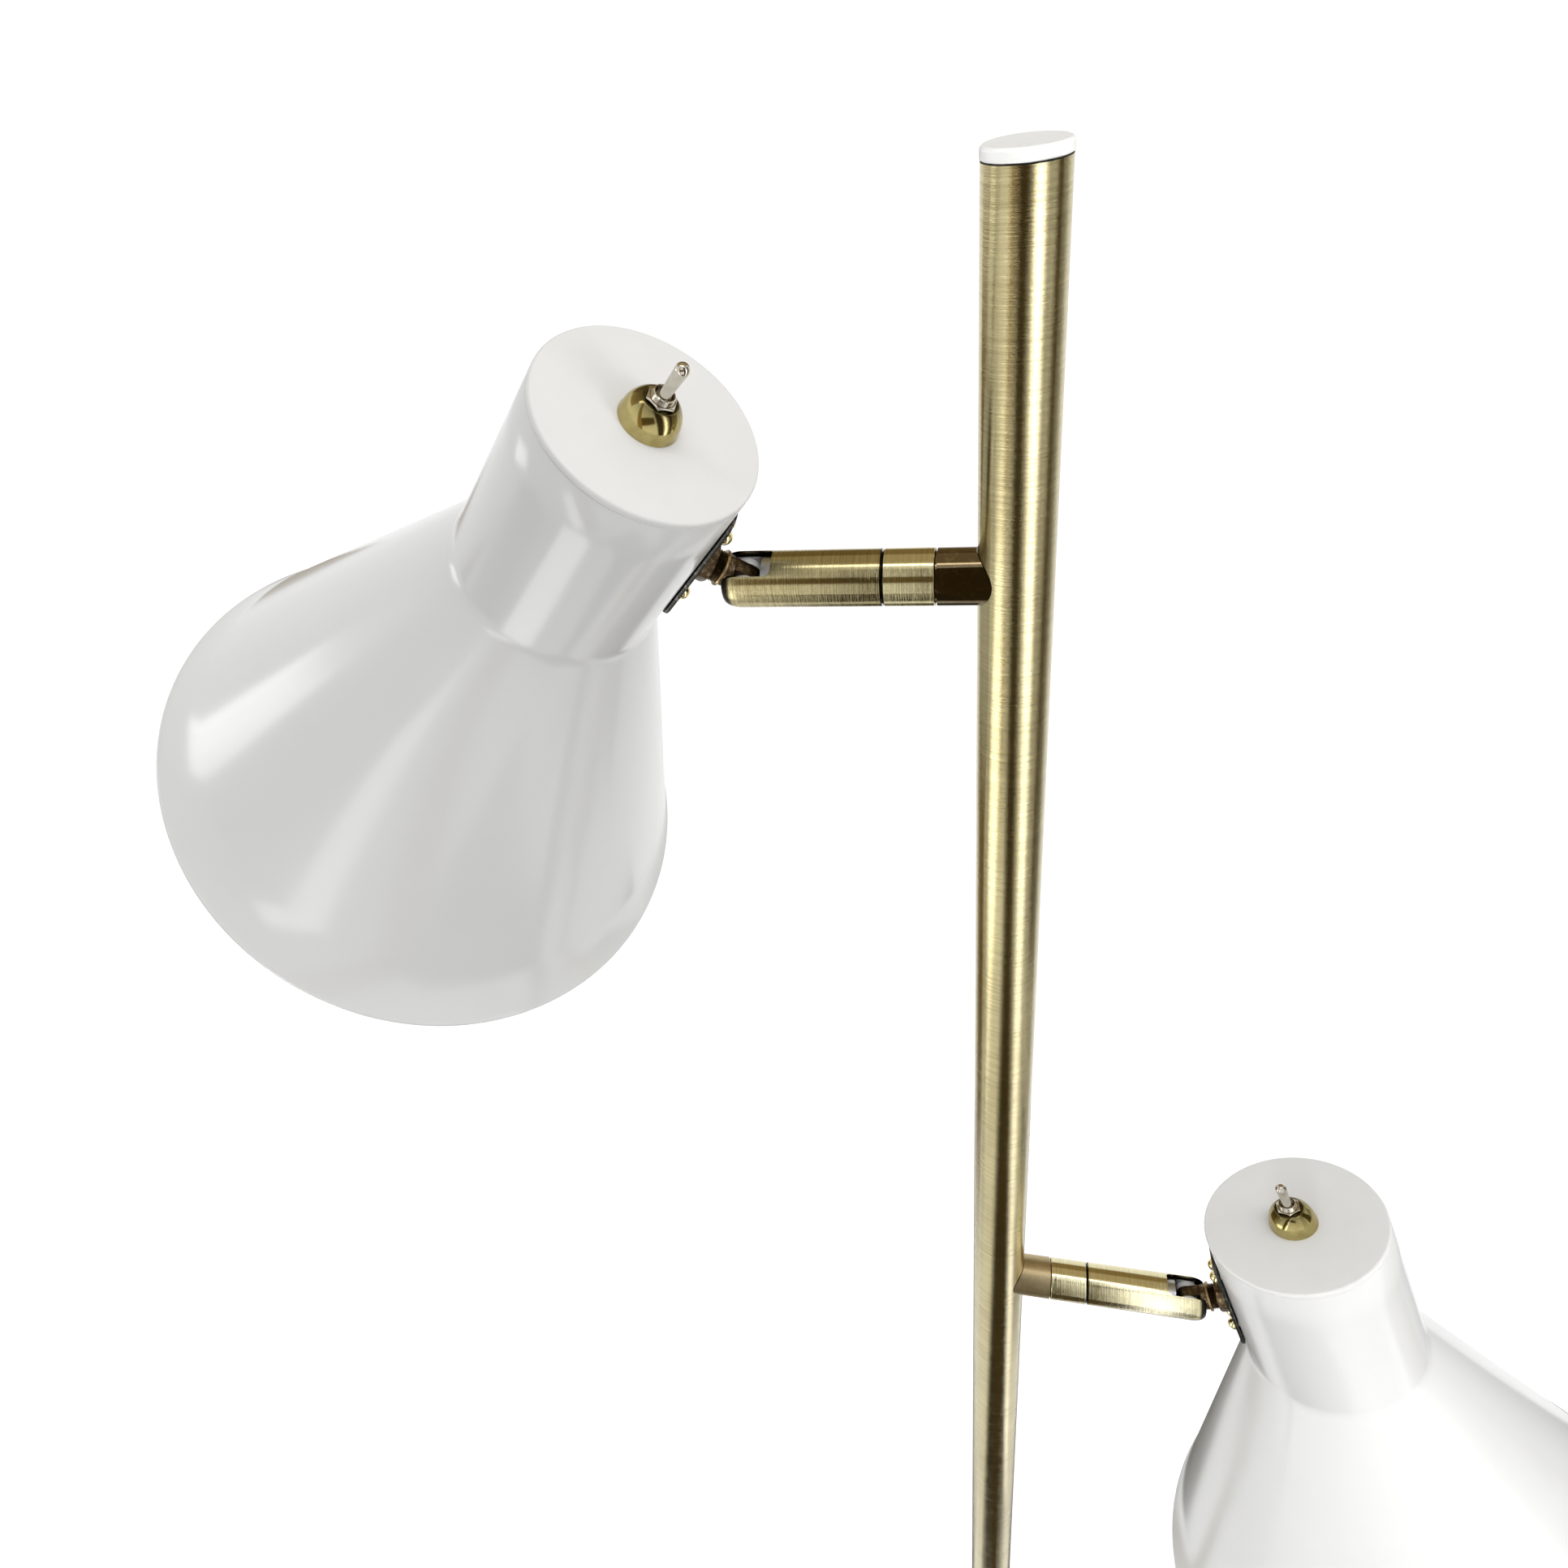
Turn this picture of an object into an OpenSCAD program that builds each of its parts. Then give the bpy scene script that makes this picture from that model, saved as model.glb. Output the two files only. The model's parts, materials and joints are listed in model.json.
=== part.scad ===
// Floor lamp with a slim round pole and two spot heads on short swivel arms.
// The origin is on the pole's axis, at the underside of the base. +Z is up.
// Arm 1 points to -X and arm 2 to +X. Lengths are in millimetres, angles in degrees.

/* [Pole] */
// Outer radius of the pole tube
pole_r = 10; // [9.5:0.1:10.5]
// Wall of the pole tube
pole_wall = 1; // [0.8:0.1:1.4]
// Height of the top of the pole tube above the floor
pole_top = 1625; // [1400:5:1800]
// Height of the joint between the lower and the upper pole
pole_joint_z = 825; // [700:5:900]
// Thickness of the white end cap
cap_thick = 3.1; // [2.5:0.1:5]

/* [Base] */
// Radius of the round base
base_r = 125; // [110:1:150]
// Height of the base cover at the pole
base_h = 22; // [21:0.5:28]
// Height of the base cover at its rounded edge
base_edge_h = 18; // [16:0.5:20]
// Thickness of the cast weight
weight_thick = 10; // [8:0.5:11]

/* [Arms] */
// Outer radius of the arms
arm_r = 8; // [7.8:0.1:8.4]
// Distance of arm 1 below the top of the pole
arm_1_drop = 102.3; // [60:0.1:150]
// Distance of arm 2 below the top of the pole
arm_2_drop = 428.1; // [300:0.1:600]
// Distance of the inner seam from the pole's axis
seam_inner_x = 20.5; // [18:0.1:24]
// Distance of the swivel seam from the pole's axis
seam_outer_x = 34.9; // [32:0.1:38]
// Distance of the tilt pivot from the pole's axis
pivot_x = 73.5; // [70:0.1:78]
// Turn of head 1 about its arm, from upright
swivel_1 = 18.4; // [-170:0.1:170]
// Turn of head 2 about its arm, from upright
swivel_2 = 7.8; // [-170:0.1:170]
// Tilt of head 1's stem up from its arm
tilt_1 = 37.6; // [0:0.1:90]
// Tilt of head 2's stem up from its arm
tilt_2 = 19.7; // [0:0.1:90]

/* [Shades] */
// Radius of the shade's neck
neck_r = 31.8; // [30:0.1:34]
// Length of the shade's neck, with its lid
neck_len = 65; // [62:0.5:75]
// Radius of the shade's mouth
mouth_r = 98.3; // [80:0.1:100]
// Length of the shade's cone
cone_len = 137; // [120:0.5:150]
// Wall of the spun shade
shade_wall = 1; // [0.8:0.1:1.4]
// Radius of the blend between neck and cone
blend_r = 12; // [6:0.5:16]
// Distance from the tilt pivot to the neck's axis
stem_reach = 47.2; // [47:0.1:49]
// Distance of the stem below the top of the lid
stem_drop = 35.5; // [35:0.1:40]

/* [Switches] */
// Radius of the brass dome round the switch
dome_r = 8.2; // [7.5:0.1:9]
// Lean of the lever to either side
lever_lean = 14; // [10:0.5:15]
// Length of the lever from its pivot to its tip
lever_len = 16.3; // [14:0.1:17]

/* [Hidden] */
$fn = 96;
fine = 48;                              // segments round a small turned piece
eps = 0.01;
gap = 0.05;                             // play between faces that slide or screw together
clear = 0.3;                            // space between pieces that don't touch
play = 0.02;                            // play in a thread
pole_bore = pole_r - pole_wall;
plug_r = pole_bore - 0.03;
cap_gap = 0.3;                          // dark line under the end cap
cap_r = pole_r + 0.15;
cap_edge = 1.1;                         // rounding of the end cap
cover_wall = 1.5;
pad_thick = 3;
cover_lift = 1.5;                       // the cover's lower edge stays off the floor
edge_r = 8;                             // rounding of the base's upper edge
hub_r = 28;
inlet_z = 7;
inlet_r = 3.2;
grommet_hole_r = inlet_r + 1.3;
stud_r = 4.9;                           // hollow threaded tube, 10 mm across
stud_bore = 3.4;
weight_r = base_r - cover_wall - 2.5;
weight_top = pad_thick + weight_thick;
recess_top = 9;                         // ceiling of the recess for the nut
washer_thick = 1.6;
arm_z = [pole_top - arm_1_drop, pole_top - arm_2_drop];
arm_turn = [180, 0];
swivel = [swivel_1, swivel_2];
tilt = [tilt_1, tilt_2];
lean_side = [1, -1];                    // both levers lean to the same side of the lamp
seam = 0.4;                             // width of the dark seams in the arm
seam_r = arm_r - 0.8;
nipple_start = 6.5;                     // ends of the hollow threaded tube in the arm
nipple_end = seam_outer_x + 11.1;
sleeve_web = 5.9;                       // end wall of the sleeve that turns on that tube
sleeve_end = pivot_x + 6;
slot_half = 5;
slot_depth = 13;
slot_corner = 2;
sleeve_bore = 6.3;
stem_r = 4.7;
thread_r = 4.3;
stem_start = 5;
tongue_half = 2.3;
fork_half = 4.5;
tongue_r = 4.1;
pin_r = 1.6;
ring_x = 7.4;                           // washer on the stem, from the pivot
ring_thick = 1;
nut_x = 10.9;
plate_thick = 1.2;
plate_x = stem_reach - neck_r - plate_thick;
plate_up = 22.6;                        // reach of the plate above and below the stem
plate_half_w = 7;
screw_y = 2.8;
screw_z = [14, -12.5];
screw_r = 1.25;
lid_thick = 2;
cone_slope = (mouth_r - neck_r) / cone_len;
cone_half = atan(cone_slope);           // half of the cone's opening angle
bracket_x = 17.3;
bracket_thick = 1.2;
bracket_z = 17.5;                       // underside of the shelf that carries the lampholder
holder_r = 17;
holder_len = 40;
bulb_cap_r = 13.1;
bulb_r = 30;
bushing_r = 3.17;
bushing_bore = 2.4;
dome_top = 6.9;
lever_pivot_z = 7;

antique_brass = [0.62, 0.55, 0.34];
pale_brass = [0.75, 0.69, 0.46];
bronze = [0.33, 0.24, 0.14];
gold = [0.83, 0.70, 0.36];
nickel = [0.78, 0.76, 0.72];
steel = [0.62, 0.63, 0.65];
iron = [0.24, 0.24, 0.25];
white_gloss = [0.93, 0.93, 0.92];
white_matt = [0.95, 0.94, 0.93];
black = [0.07, 0.07, 0.07];

// Points on an arc about c, from angle a0 to a1, in n steps.
function arc(c, r, a0, a1, n) =
    [for (i = [0:n]) let (a = a0 + (a1 - a0) * i / n) c + r * [cos(a), sin(a)]];

// ---- Frames: each puts its children where a lamp's pieces are at rest ----

// X runs out along the arm, and Z is the side where the slot opens.
module on_arm(n) {
    translate([0, 0, arm_z[n - 1]]) rotate([0, 0, arm_turn[n - 1]]) rotate([-swivel[n - 1], 0, 0]) children();
}

// Origin at the tilt pivot. X runs out along the stem, and Z up the shade.
module on_head(n) {
    on_arm(n) translate([pivot_x, 0, 0]) rotate([0, -tilt[n - 1], 0]) children();
}

// Origin at the middle of the lid's top. The mouth is at the far end of -Z.
module on_shade(n) {
    on_head(n) translate([stem_reach, 0, stem_drop]) children();
}

// ---- Helpers ----

// A tube along Z from z0 to z1.
module tube(r_out, r_in, z0, z1) {
    difference() {
        translate([0, 0, z0]) cylinder(r = r_out, h = z1 - z0);
        translate([0, 0, z0 - 1]) cylinder(r = r_in, h = z1 - z0 + 2);
    }
}

// The same tube along X.
module tube_x(r_out, r_in, x0, x1) {
    rotate([0, 90, 0]) tube(r_out, r_in, x0, x1);
}

// A rod along X from x0 to x1.
module rod_x(r, x0, x1) {
    translate([x0, 0, 0]) rotate([0, 90, 0]) cylinder(r = r, h = x1 - x0);
}

// A rod along Y, centred on the origin.
module rod_y(r, length) {
    rotate([90, 0, 0]) cylinder(r = r, h = length, center = true);
}

// A hexagonal nut along Z with a round bore. flats is the distance across the flats.
module hex_nut(flats, bore, z0, z1) {
    difference() {
        translate([0, 0, z0]) cylinder(d = flats / cos(30), h = z1 - z0, $fn = 6);
        translate([0, 0, z0 - 1]) cylinder(r = bore, h = z1 - z0 + 2);
    }
}

// ---- Base ----

module base_pad() {
    pad_hole = 18;
    color("dimgray") tube(weight_r, pad_hole, 0, pad_thick);
}

module base_weight() {
    channel_w = 9;
    channel_h = 8;
    recess_r = 14;
    color(iron) difference() {
        union() {
            translate([0, 0, pad_thick]) cylinder(r = weight_r, h = weight_thick);
            weight_hub();
        }
        translate([0, 0, pad_thick - 1]) cylinder(r = stud_r + clear, h = base_h);
        translate([0, 0, pad_thick - 1]) cylinder(r = recess_r, h = recess_top - pad_thick + 1);
        translate([-channel_w / 2, 0, pad_thick - 1]) cube([channel_w, weight_r + 1, channel_h + 1]);
    }
}

module weight_hub() {
    translate([0, 0, weight_top - 1]) cylinder(r = hub_r, h = base_h - cover_wall - weight_top + 1);
}

module base_washer() {
    washer_r = 11;
    color(steel) tube(washer_r, stud_r + clear, recess_top - washer_thick, recess_top);
}

module base_nut() {
    nut_flats = 16;
    nut_thick = 3.4;
    nut_top = recess_top - washer_thick;
    color(steel) hex_nut(nut_flats, stud_r + play, nut_top - nut_thick, nut_top);
}

// A plug in the foot of the pole with a hollow threaded tube below it.
module base_stud() {
    plug_len = 30;
    stud_low = pad_thick + 0.6;
    color(steel) difference() {
        union() {
            translate([0, 0, stud_low]) cylinder(r = stud_r, h = base_h - stud_low + 1);
            translate([0, 0, base_h]) cylinder(r = plug_r, h = plug_len);
        }
        translate([0, 0, pad_thick]) cylinder(r = stud_bore, h = base_h + plug_len);
    }
}

module base_cover() {
    corner = [base_r - edge_r, base_edge_h - edge_r];
    hole_r = stud_r + clear;
    arc_top = 88;                         // the upper face slopes from there to the pole
    color(antique_brass) difference() {
        rotate_extrude($fn = 180) polygon(concat(
            [[hole_r, base_h], [hub_r + 2, base_h]],
            arc(corner, edge_r, arc_top, 0, 14),
            [[base_r, cover_lift], [base_r - cover_wall, cover_lift]],
            arc(corner, edge_r - cover_wall, 0, arc_top, 14),
            [[hub_r + 2, base_h - cover_wall], [hole_r, base_h - cover_wall]]));
        translate([0, base_r, inlet_z]) rod_y(grommet_hole_r, 12);
    }
}

// The turned ring that hides the foot of the pole.
module base_collar() {
    collar_r = 15;
    collar_h = 9;
    step = 1;
    step_z = 2.5;
    round_r = 3;
    bore = pole_r + gap;
    color(pale_brass) translate([0, 0, base_h]) rotate_extrude() polygon(concat(
        [[bore, 0], [collar_r, 0], [collar_r, step_z], [collar_r - step, step_z + step / 2]],
        arc([collar_r - step - round_r, collar_h - round_r], round_r, 0, 90, 8),
        [[bore, collar_h]]));
}

// Rubber bush where the supply cord enters at the back.
module cord_grommet() {
    lip_r = inlet_r + 2.2;
    groove_r = grommet_hole_r - 0.1;
    edge = 0.5;
    out_y = base_r + 1.4;
    wall_y = base_r - cover_wall - 0.7;   // the cover's wall curves inwards above the bush
    in_y = wall_y - 0.9;
    color(black) translate([0, 0, inlet_z]) rotate([-90, 0, 0]) rotate_extrude($fn = fine) polygon([
        [inlet_r, in_y], [lip_r, in_y], [lip_r, wall_y], [groove_r, wall_y],
        [groove_r, base_r + gap], [lip_r, base_r + gap], [lip_r, out_y - edge], [lip_r - edge, out_y],
        [inlet_r, out_y]]);
}

// ---- Pole ----

module lower_pole() {
    color(antique_brass) tube(pole_r, pole_bore, base_h, pole_joint_z - 0.1);
}

module pole_coupler() {
    half_len = 35;
    wire_bore = 6;
    color(steel) tube(plug_r, wire_bore, pole_joint_z - half_len, pole_joint_z + half_len);
}

module upper_pole() {
    color(antique_brass) difference() {
        tube(pole_r, pole_bore, pole_joint_z + 0.1, pole_top);
        for (n = [1, 2]) on_arm(n) rod_x(stud_r + gap, 0, 2 * pole_r);
    }
}

module pole_cap() {
    plug_end = pole_top - 12;
    rest_r = pole_r - 0.5;
    low = pole_top + cap_gap;
    high = low + cap_thick;
    bevel = 0.4;
    dish = 0.12;
    color(white_matt) rotate_extrude() polygon(concat(
        [[0, plug_end], [pole_bore - 2 * bevel, plug_end], [pole_bore - gap, plug_end + 1.5],
         [pole_bore - gap, pole_top], [rest_r, pole_top], [rest_r, low],
         [cap_r - bevel, low], [cap_r, low + bevel]],
        arc([cap_r - cap_edge, high - cap_edge], cap_edge, 0, 90, 8),
        [[cap_r - 3, high - dish / 2], [0, high - dish]]));
}

// ---- Arm: stub, collar and threaded tube are fixed to the pole ----

module arm_stub(n) {
    cope_r = pole_r + 0.15;
    color(bronze) on_arm(n) difference() {
        union() {
            rod_x(arm_r, 4, seam_inner_x - seam / 2);
            rod_x(seam_r, 4, seam_inner_x + seam / 2);
        }
        rod_x(stud_r + gap, 0, seam_inner_x + 1);
        rotate([swivel[n - 1], 0, 0]) cylinder(r = cope_r, h = 4 * arm_r, center = true);
    }
}

module arm_collar(n) {
    bevel = 0.4;
    x0 = seam_inner_x + seam / 2;
    x1 = seam_outer_x - seam / 2;
    bore = stud_r + gap;
    color(pale_brass) on_arm(n) rotate([0, 90, 0]) rotate_extrude() polygon([
        [bore, x0], [arm_r - bevel, x0], [arm_r, x0 + bevel], [arm_r, x1 - bevel], [arm_r - bevel, x1],
        [seam_r, x1], [seam_r, x1 + seam - gap], [bore, x1 + seam - gap]]);
}

module arm_nipple(n) {
    color(steel) on_arm(n) tube_x(stud_r, stud_bore, nipple_start, nipple_end);
}

// A round nut with two slots for a pin wrench.
module arm_nut(n) {
    x0 = seam_outer_x + seam / 2 + sleeve_web + clear;
    x1 = x0 + 4;
    slot_w = 1.6;
    slot_d = 1;
    color(steel) on_arm(n) difference() {
        tube_x(sleeve_bore - clear, stud_r + play, x0, x1);
        translate([x1 - slot_d, -slot_w / 2, -arm_r]) cube([2 * slot_d, slot_w, 2 * arm_r]);
    }
}

// ---- Arm: the sleeve turns on the threaded tube ----

module arm_sleeve(n) {
    bevel = 0.4;
    x0 = seam_outer_x + seam / 2;
    back = x0 + sleeve_web;
    shoulder = sleeve_end - 1.2;
    round_len = 5.2;
    mouth = slot_half;
    lip = mouth + 0.5;
    slot_x = sleeve_end - slot_depth;
    color(antique_brass) on_arm(n) difference() {
        rotate([0, 90, 0]) rotate_extrude() polygon(concat(
            [[stud_r + gap, x0], [arm_r - bevel, x0], [arm_r, x0 + bevel]],
            [for (i = [0:10]) let (a = 90 * i / 10)
                [lip + (arm_r - lip) * cos(a), sleeve_end - round_len + round_len * sin(a)]],
            [[mouth, sleeve_end], [mouth, shoulder], [sleeve_bore, shoulder], [sleeve_bore, back],
             [stud_r + gap, back]]));
        translate([slot_x + slot_corner, -slot_half, 0]) cube([slot_depth, 2 * slot_half, 2 * arm_r]);
        translate([slot_x, slot_corner - slot_half, 0])
            cube([slot_depth, 2 * (slot_half - slot_corner), 2 * arm_r]);
        for (s = [-1, 1]) translate([slot_x + slot_corner, s * (slot_half - slot_corner), 0])
            cylinder(r = slot_corner, h = 2 * arm_r, $fn = fine);
    }
}

// The fork inside the sleeve.
module arm_clevis(n) {
    x0 = pivot_x - 15.5;
    web_end = pivot_x - 5.3;              // floor of the fork
    x1 = pivot_x + 2.4;
    wire_bore = 2.5;
    color(steel) on_arm(n) difference() {
        rod_x(sleeve_bore - play, x0, x1);
        rod_x(wire_bore, x0 - 1, web_end + 1);
        translate([web_end, -fork_half, -arm_r]) cube([20, 2 * fork_half, 2 * arm_r]);
        translate([pivot_x, 0, 0]) rod_y(pin_r + play, 4 * arm_r, $fn = fine);
    }
}

// Two nylon friction washers, one on each side of the tongue.
module pivot_washers(n) {
    y0 = tongue_half + gap;
    y1 = fork_half - gap;
    color("white") on_arm(n) for (s = [-1, 1]) difference() {
        translate([pivot_x, s * (y0 + y1) / 2, 0]) rod_y(tongue_r, y1 - y0, $fn = fine);
        translate([pivot_x, 0, 0]) rod_y(pin_r + play, 4 * arm_r, $fn = fine);
    }
}

module pivot_pin(n) {
    color(steel) on_arm(n) translate([pivot_x, 0, 0]) rod_y(pin_r, 11.6, $fn = fine);
}

// ---- Head: the knuckle and the plate ----

// A flat tongue on the pivot, then a round stem with a thread towards the shade.
module knuckle(n) {
    stem_end = 22.5;
    pitch = 0.8;
    wire_bore = 2;
    ridge_x = ring_x + ring_thick;
    color(bronze) on_head(n) difference() {
        union() {
            rod_y(tongue_r, 2 * tongue_half, $fn = fine);
            translate([0, -tongue_half, -tongue_r]) cube([stem_start + 1, 2 * tongue_half, 2 * tongue_r]);
            rod_x(stem_r, stem_start, ring_x);
            rod_x(thread_r, stem_start, stem_end);
            for (i = [0:2]) translate([ridge_x + pitch * i, 0, 0]) rotate([0, 90, 0]) {
                cylinder(r1 = thread_r, r2 = stem_r, h = pitch / 2);
                translate([0, 0, pitch / 2]) cylinder(r1 = stem_r, r2 = thread_r, h = pitch / 2);
            }
        }
        rod_y(pin_r + gap, 4 * arm_r, $fn = fine);
        rod_x(wire_bore, stem_start + 1, stem_end + 1);
    }
}

module knuckle_ring(n) {
    ring_r = 6;
    color(gold) on_head(n) tube_x(ring_r, thread_r + play, ring_x, ring_x + ring_thick);
}

// One nut outside the plate, and one inside the neck.
module knuckle_nuts(n) {
    flats = 11;
    nut_thick = 3;
    inner_x = bracket_x + bracket_thick;
    color(bronze) on_head(n) rotate([0, 90, 0]) {
        hex_nut(flats, thread_r + play, nut_x, plate_x);
        hex_nut(flats, thread_r + play, inner_x, inner_x + nut_thick);
    }
}

// A flat strip with round ends that touches the neck along its middle line.
module mount_plate(n) {
    end_r = 5;
    color(bronze) on_head(n) difference() {
        translate([plate_x, 0, 0]) rotate([90, 0, 90]) linear_extrude(height = plate_thick) difference() {
            union() {
                square([2 * plate_half_w, 2 * (plate_up - end_r)], center = true);
                square([2 * (plate_half_w - end_r), 2 * plate_up], center = true);
                for (s = [-1, 1], t = [-1, 1])
                    translate([s * (plate_half_w - end_r), t * (plate_up - end_r)])
                        circle(r = end_r, $fn = fine);
            }
        }
        rod_x(thread_r + gap, plate_x - 1, plate_x + 3);
        screw_holes(plate_x);
    }
}

// Four holes along X, from just before x.
module screw_holes(x) {
    hole_len = 9;
    for (s = [-1, 1], z = screw_z) translate([0, s * screw_y, z])
        rod_x(screw_r + gap, x - 1, x - 1 + hole_len, $fn = fine / 2);
}

// Four round-head screws that hold plate, neck and bracket together.
module plate_screws(n) {
    head_r = 2.3;
    head_h = 1.8;
    cut_w = 0.6;
    cut_d = 0.5;
    shank_end = bracket_x + bracket_thick + 1.5;
    color(gold) on_head(n) for (s = [-1, 1], z = screw_z) translate([0, s * screw_y, z]) difference() {
        rotate([0, 90, 0]) rotate_extrude($fn = fine) polygon(concat(
            [for (i = [0:8]) let (a = 90 * i / 8) [head_r * sin(a), plate_x - head_h * cos(a)]],
            [[screw_r, plate_x], [screw_r, shank_end], [0, shank_end]]));
        translate([plate_x - head_h - 1, -cut_w / 2, -head_r]) cube([1 + cut_d, cut_w, 2 * head_r]);
        translate([plate_x - head_h - 1, -head_r, -cut_w / 2]) cube([1 + cut_d, 2 * head_r, cut_w]);
    }
}

// ---- Head: shade and lid ----

// The shade's outline as seen from the axis, moved inwards by d.
function shade_outline(d) =
    let (r = neck_r - d,
         bend_z = -neck_len + d * tan(cone_half / 2),
         bend = blend_r + d,
         run = bend * tan(cone_half / 2),
         end_z = -neck_len - cone_len)
    concat([[r, -lid_thick]],
        arc([r + bend, bend_z + run], bend, 180, 180 + cone_half, 8),
        [[r + (bend_z - end_z) * cone_slope, end_z]]);

module shade(n) {
    bead_r = 1.1;
    outer = shade_outline(0);
    inner = shade_outline(shade_wall);
    count = len(inner);
    color(white_gloss) on_shade(n) difference() {
        union() {
            rotate_extrude($fn = 144) polygon(concat(outer, [for (i = [1:count]) inner[count - i]]));
            translate([0, 0, -neck_len - cone_len + bead_r]) rotate_extrude($fn = 144)
                translate([mouth_r - bead_r, 0]) circle(r = bead_r, $fn = 24);
        }
        translate([-stem_reach, 0, -stem_drop]) {
            rod_x(thread_r + gap, plate_x, stem_reach - neck_r + 4);
            screw_holes(plate_x + 1);
        }
    }
}

module shade_lid(n) {
    edge = 0.9;
    skirt_r = neck_r - shade_wall - gap;
    skirt_wall = 1.2;
    skirt_len = 7;
    color(white_matt) on_shade(n) rotate_extrude($fn = 144) polygon(concat(
        [[bushing_r + gap, 0]],
        arc([neck_r - edge, -edge], edge, 90, 0, 6),
        [[neck_r, -lid_thick], [skirt_r, -lid_thick], [skirt_r, -skirt_len],
         [skirt_r - skirt_wall, -skirt_len], [skirt_r - skirt_wall, -lid_thick],
         [bushing_r + gap, -lid_thick]]));
}

// ---- Head: lampholder and bulb ----

// A strap inside the neck with a shelf over the lampholder.
module holder_bracket(n) {
    foot = -17;
    shelf_end = stem_reach + 10;
    color(steel) on_head(n) difference() {
        union() {
            translate([bracket_x, -plate_half_w, foot])
                cube([bracket_thick, 2 * plate_half_w, bracket_z + bracket_thick - foot]);
            translate([bracket_x, -plate_half_w, bracket_z])
                cube([shelf_end - bracket_x, 2 * plate_half_w, bracket_thick]);
        }
        rod_x(thread_r + gap, bracket_x - 1, bracket_x + 3);
        screw_holes(bracket_x);
        translate([stem_reach, 0, 0]) cylinder(r = stud_bore, h = 2 * bracket_z);
    }
}

module lampholder(n) {
    crown_r = holder_r - 4;
    crown_h = 9;
    side_r = holder_r - 1;
    wall = 3.4;
    z1 = bracket_z;
    z0 = z1 - holder_len;
    band_z = z1 - 25;
    band_w = 3;
    floor_z = z1 - 13;
    color(black) on_head(n) translate([stem_reach, 0, 0]) rotate_extrude() polygon([
        [0, z1], [crown_r, z1], [crown_r, z1 - crown_h], [side_r, z1 - crown_h - 2],
        [side_r, band_z], [holder_r, band_z - 0.5], [holder_r, band_z - band_w],
        [side_r, band_z - band_w - 0.5],
        [side_r, z0 + band_w], [holder_r, z0 + band_w - 1], [holder_r, z0], [holder_r - wall, z0],
        [holder_r - wall, floor_z], [0, floor_z]]);
}

module bulb_cap(n) {
    z1 = bracket_z - 14;
    z0 = bracket_z - holder_len - 2;
    tip_r = 4;
    turns = 5;
    pitch = 3.2;
    groove = 0.9;
    first = z1 - 5;
    color(steel) on_head(n) translate([stem_reach, 0, 0]) rotate_extrude($fn = fine) polygon(concat(
        [[0, z1], [tip_r, z1], [tip_r, z1 - 2], [bulb_cap_r - tip_r, z1 - 3.5]],
        [for (i = [0:turns], k = [0, 1]) [bulb_cap_r - (1 - k) * groove, first - pitch * (i + k / 2)]],
        [[bulb_cap_r, z0], [bulb_cap_r - groove, z0], [bulb_cap_r - 2 * groove, first - 1], [0, first]]));
}

// A thin hollow pear shape.
module bulb_glass(n) {
    z1 = bracket_z - holder_len - 2;
    glass = 0.8;
    neck = bulb_cap_r - 0.4;
    centre = [0, z1 - 58];
    meet = 38;                            // angle at which the globe runs into the neck
    color([1, 1, 0.97, 0.9]) on_head(n) translate([stem_reach, 0, 0]) rotate_extrude() polygon(concat(
        [[neck, z1 - eps], [neck, z1 - 4]],
        arc(centre, bulb_r, meet, -90, 22),
        arc(centre, bulb_r - glass, -90, meet, 22),
        [[neck - glass, z1 - 4.4], [neck - glass, z1 - eps]]));
}

// ---- Head: switch ----

module switch_dome(n) {
    skin = 0.8;
    hole_r = bushing_r + gap;
    outer_end = asin(dome_top / dome_r);
    inner_end = asin((dome_top - skin) / (dome_r - skin));
    color(gold) on_shade(n) rotate_extrude() polygon(concat(
        arc([0, 0], dome_r, 0, outer_end, 14),
        [[hole_r, dome_top], [hole_r, dome_top - skin]],
        arc([0, 0], dome_r - skin, inner_end, 0, 14)));
}

module switch_nut(n) {
    color(nickel) on_shade(n) hex_nut(7.6, bushing_r + 0.02, dome_top, dome_top + 1.7);
}

// The threaded barrel that comes up through the lid.
module switch_bushing(n) {
    top = 10.2;
    low = -lid_thick;
    root_r = bushing_r - 0.25;
    lead_in = 0.4;
    pitch = 0.55;
    turns = 2;
    first = dome_top + 1.7;
    color(nickel) on_shade(n) rotate_extrude($fn = fine) polygon(concat(
        [[bushing_bore, low], [bushing_r, low], [bushing_r, first]],
        [for (i = [0:turns - 1], k = [0, 1])
            [k == 0 ? root_r : bushing_r, first + pitch * (i + (k + 1) / 2)]],
        [[root_r, top], [bushing_bore + lead_in / 2, top], [bushing_bore, top - lead_in]]));
}

module switch_body(n) {
    body = [8, 13.2, 10];
    blade = [0.8, 2, 4.2];
    blade_y = 4.6;
    top = -lid_thick;
    color([0.15, 0.2, 0.35]) on_shade(n) union() {
        translate([0, 0, top - body[2] / 2]) cube(body, center = true);
        for (i = [-1:1]) translate([0, blade_y * i, top - body[2] - blade[2] / 2 + eps])
            cube(blade, center = true);
    }
}

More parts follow.
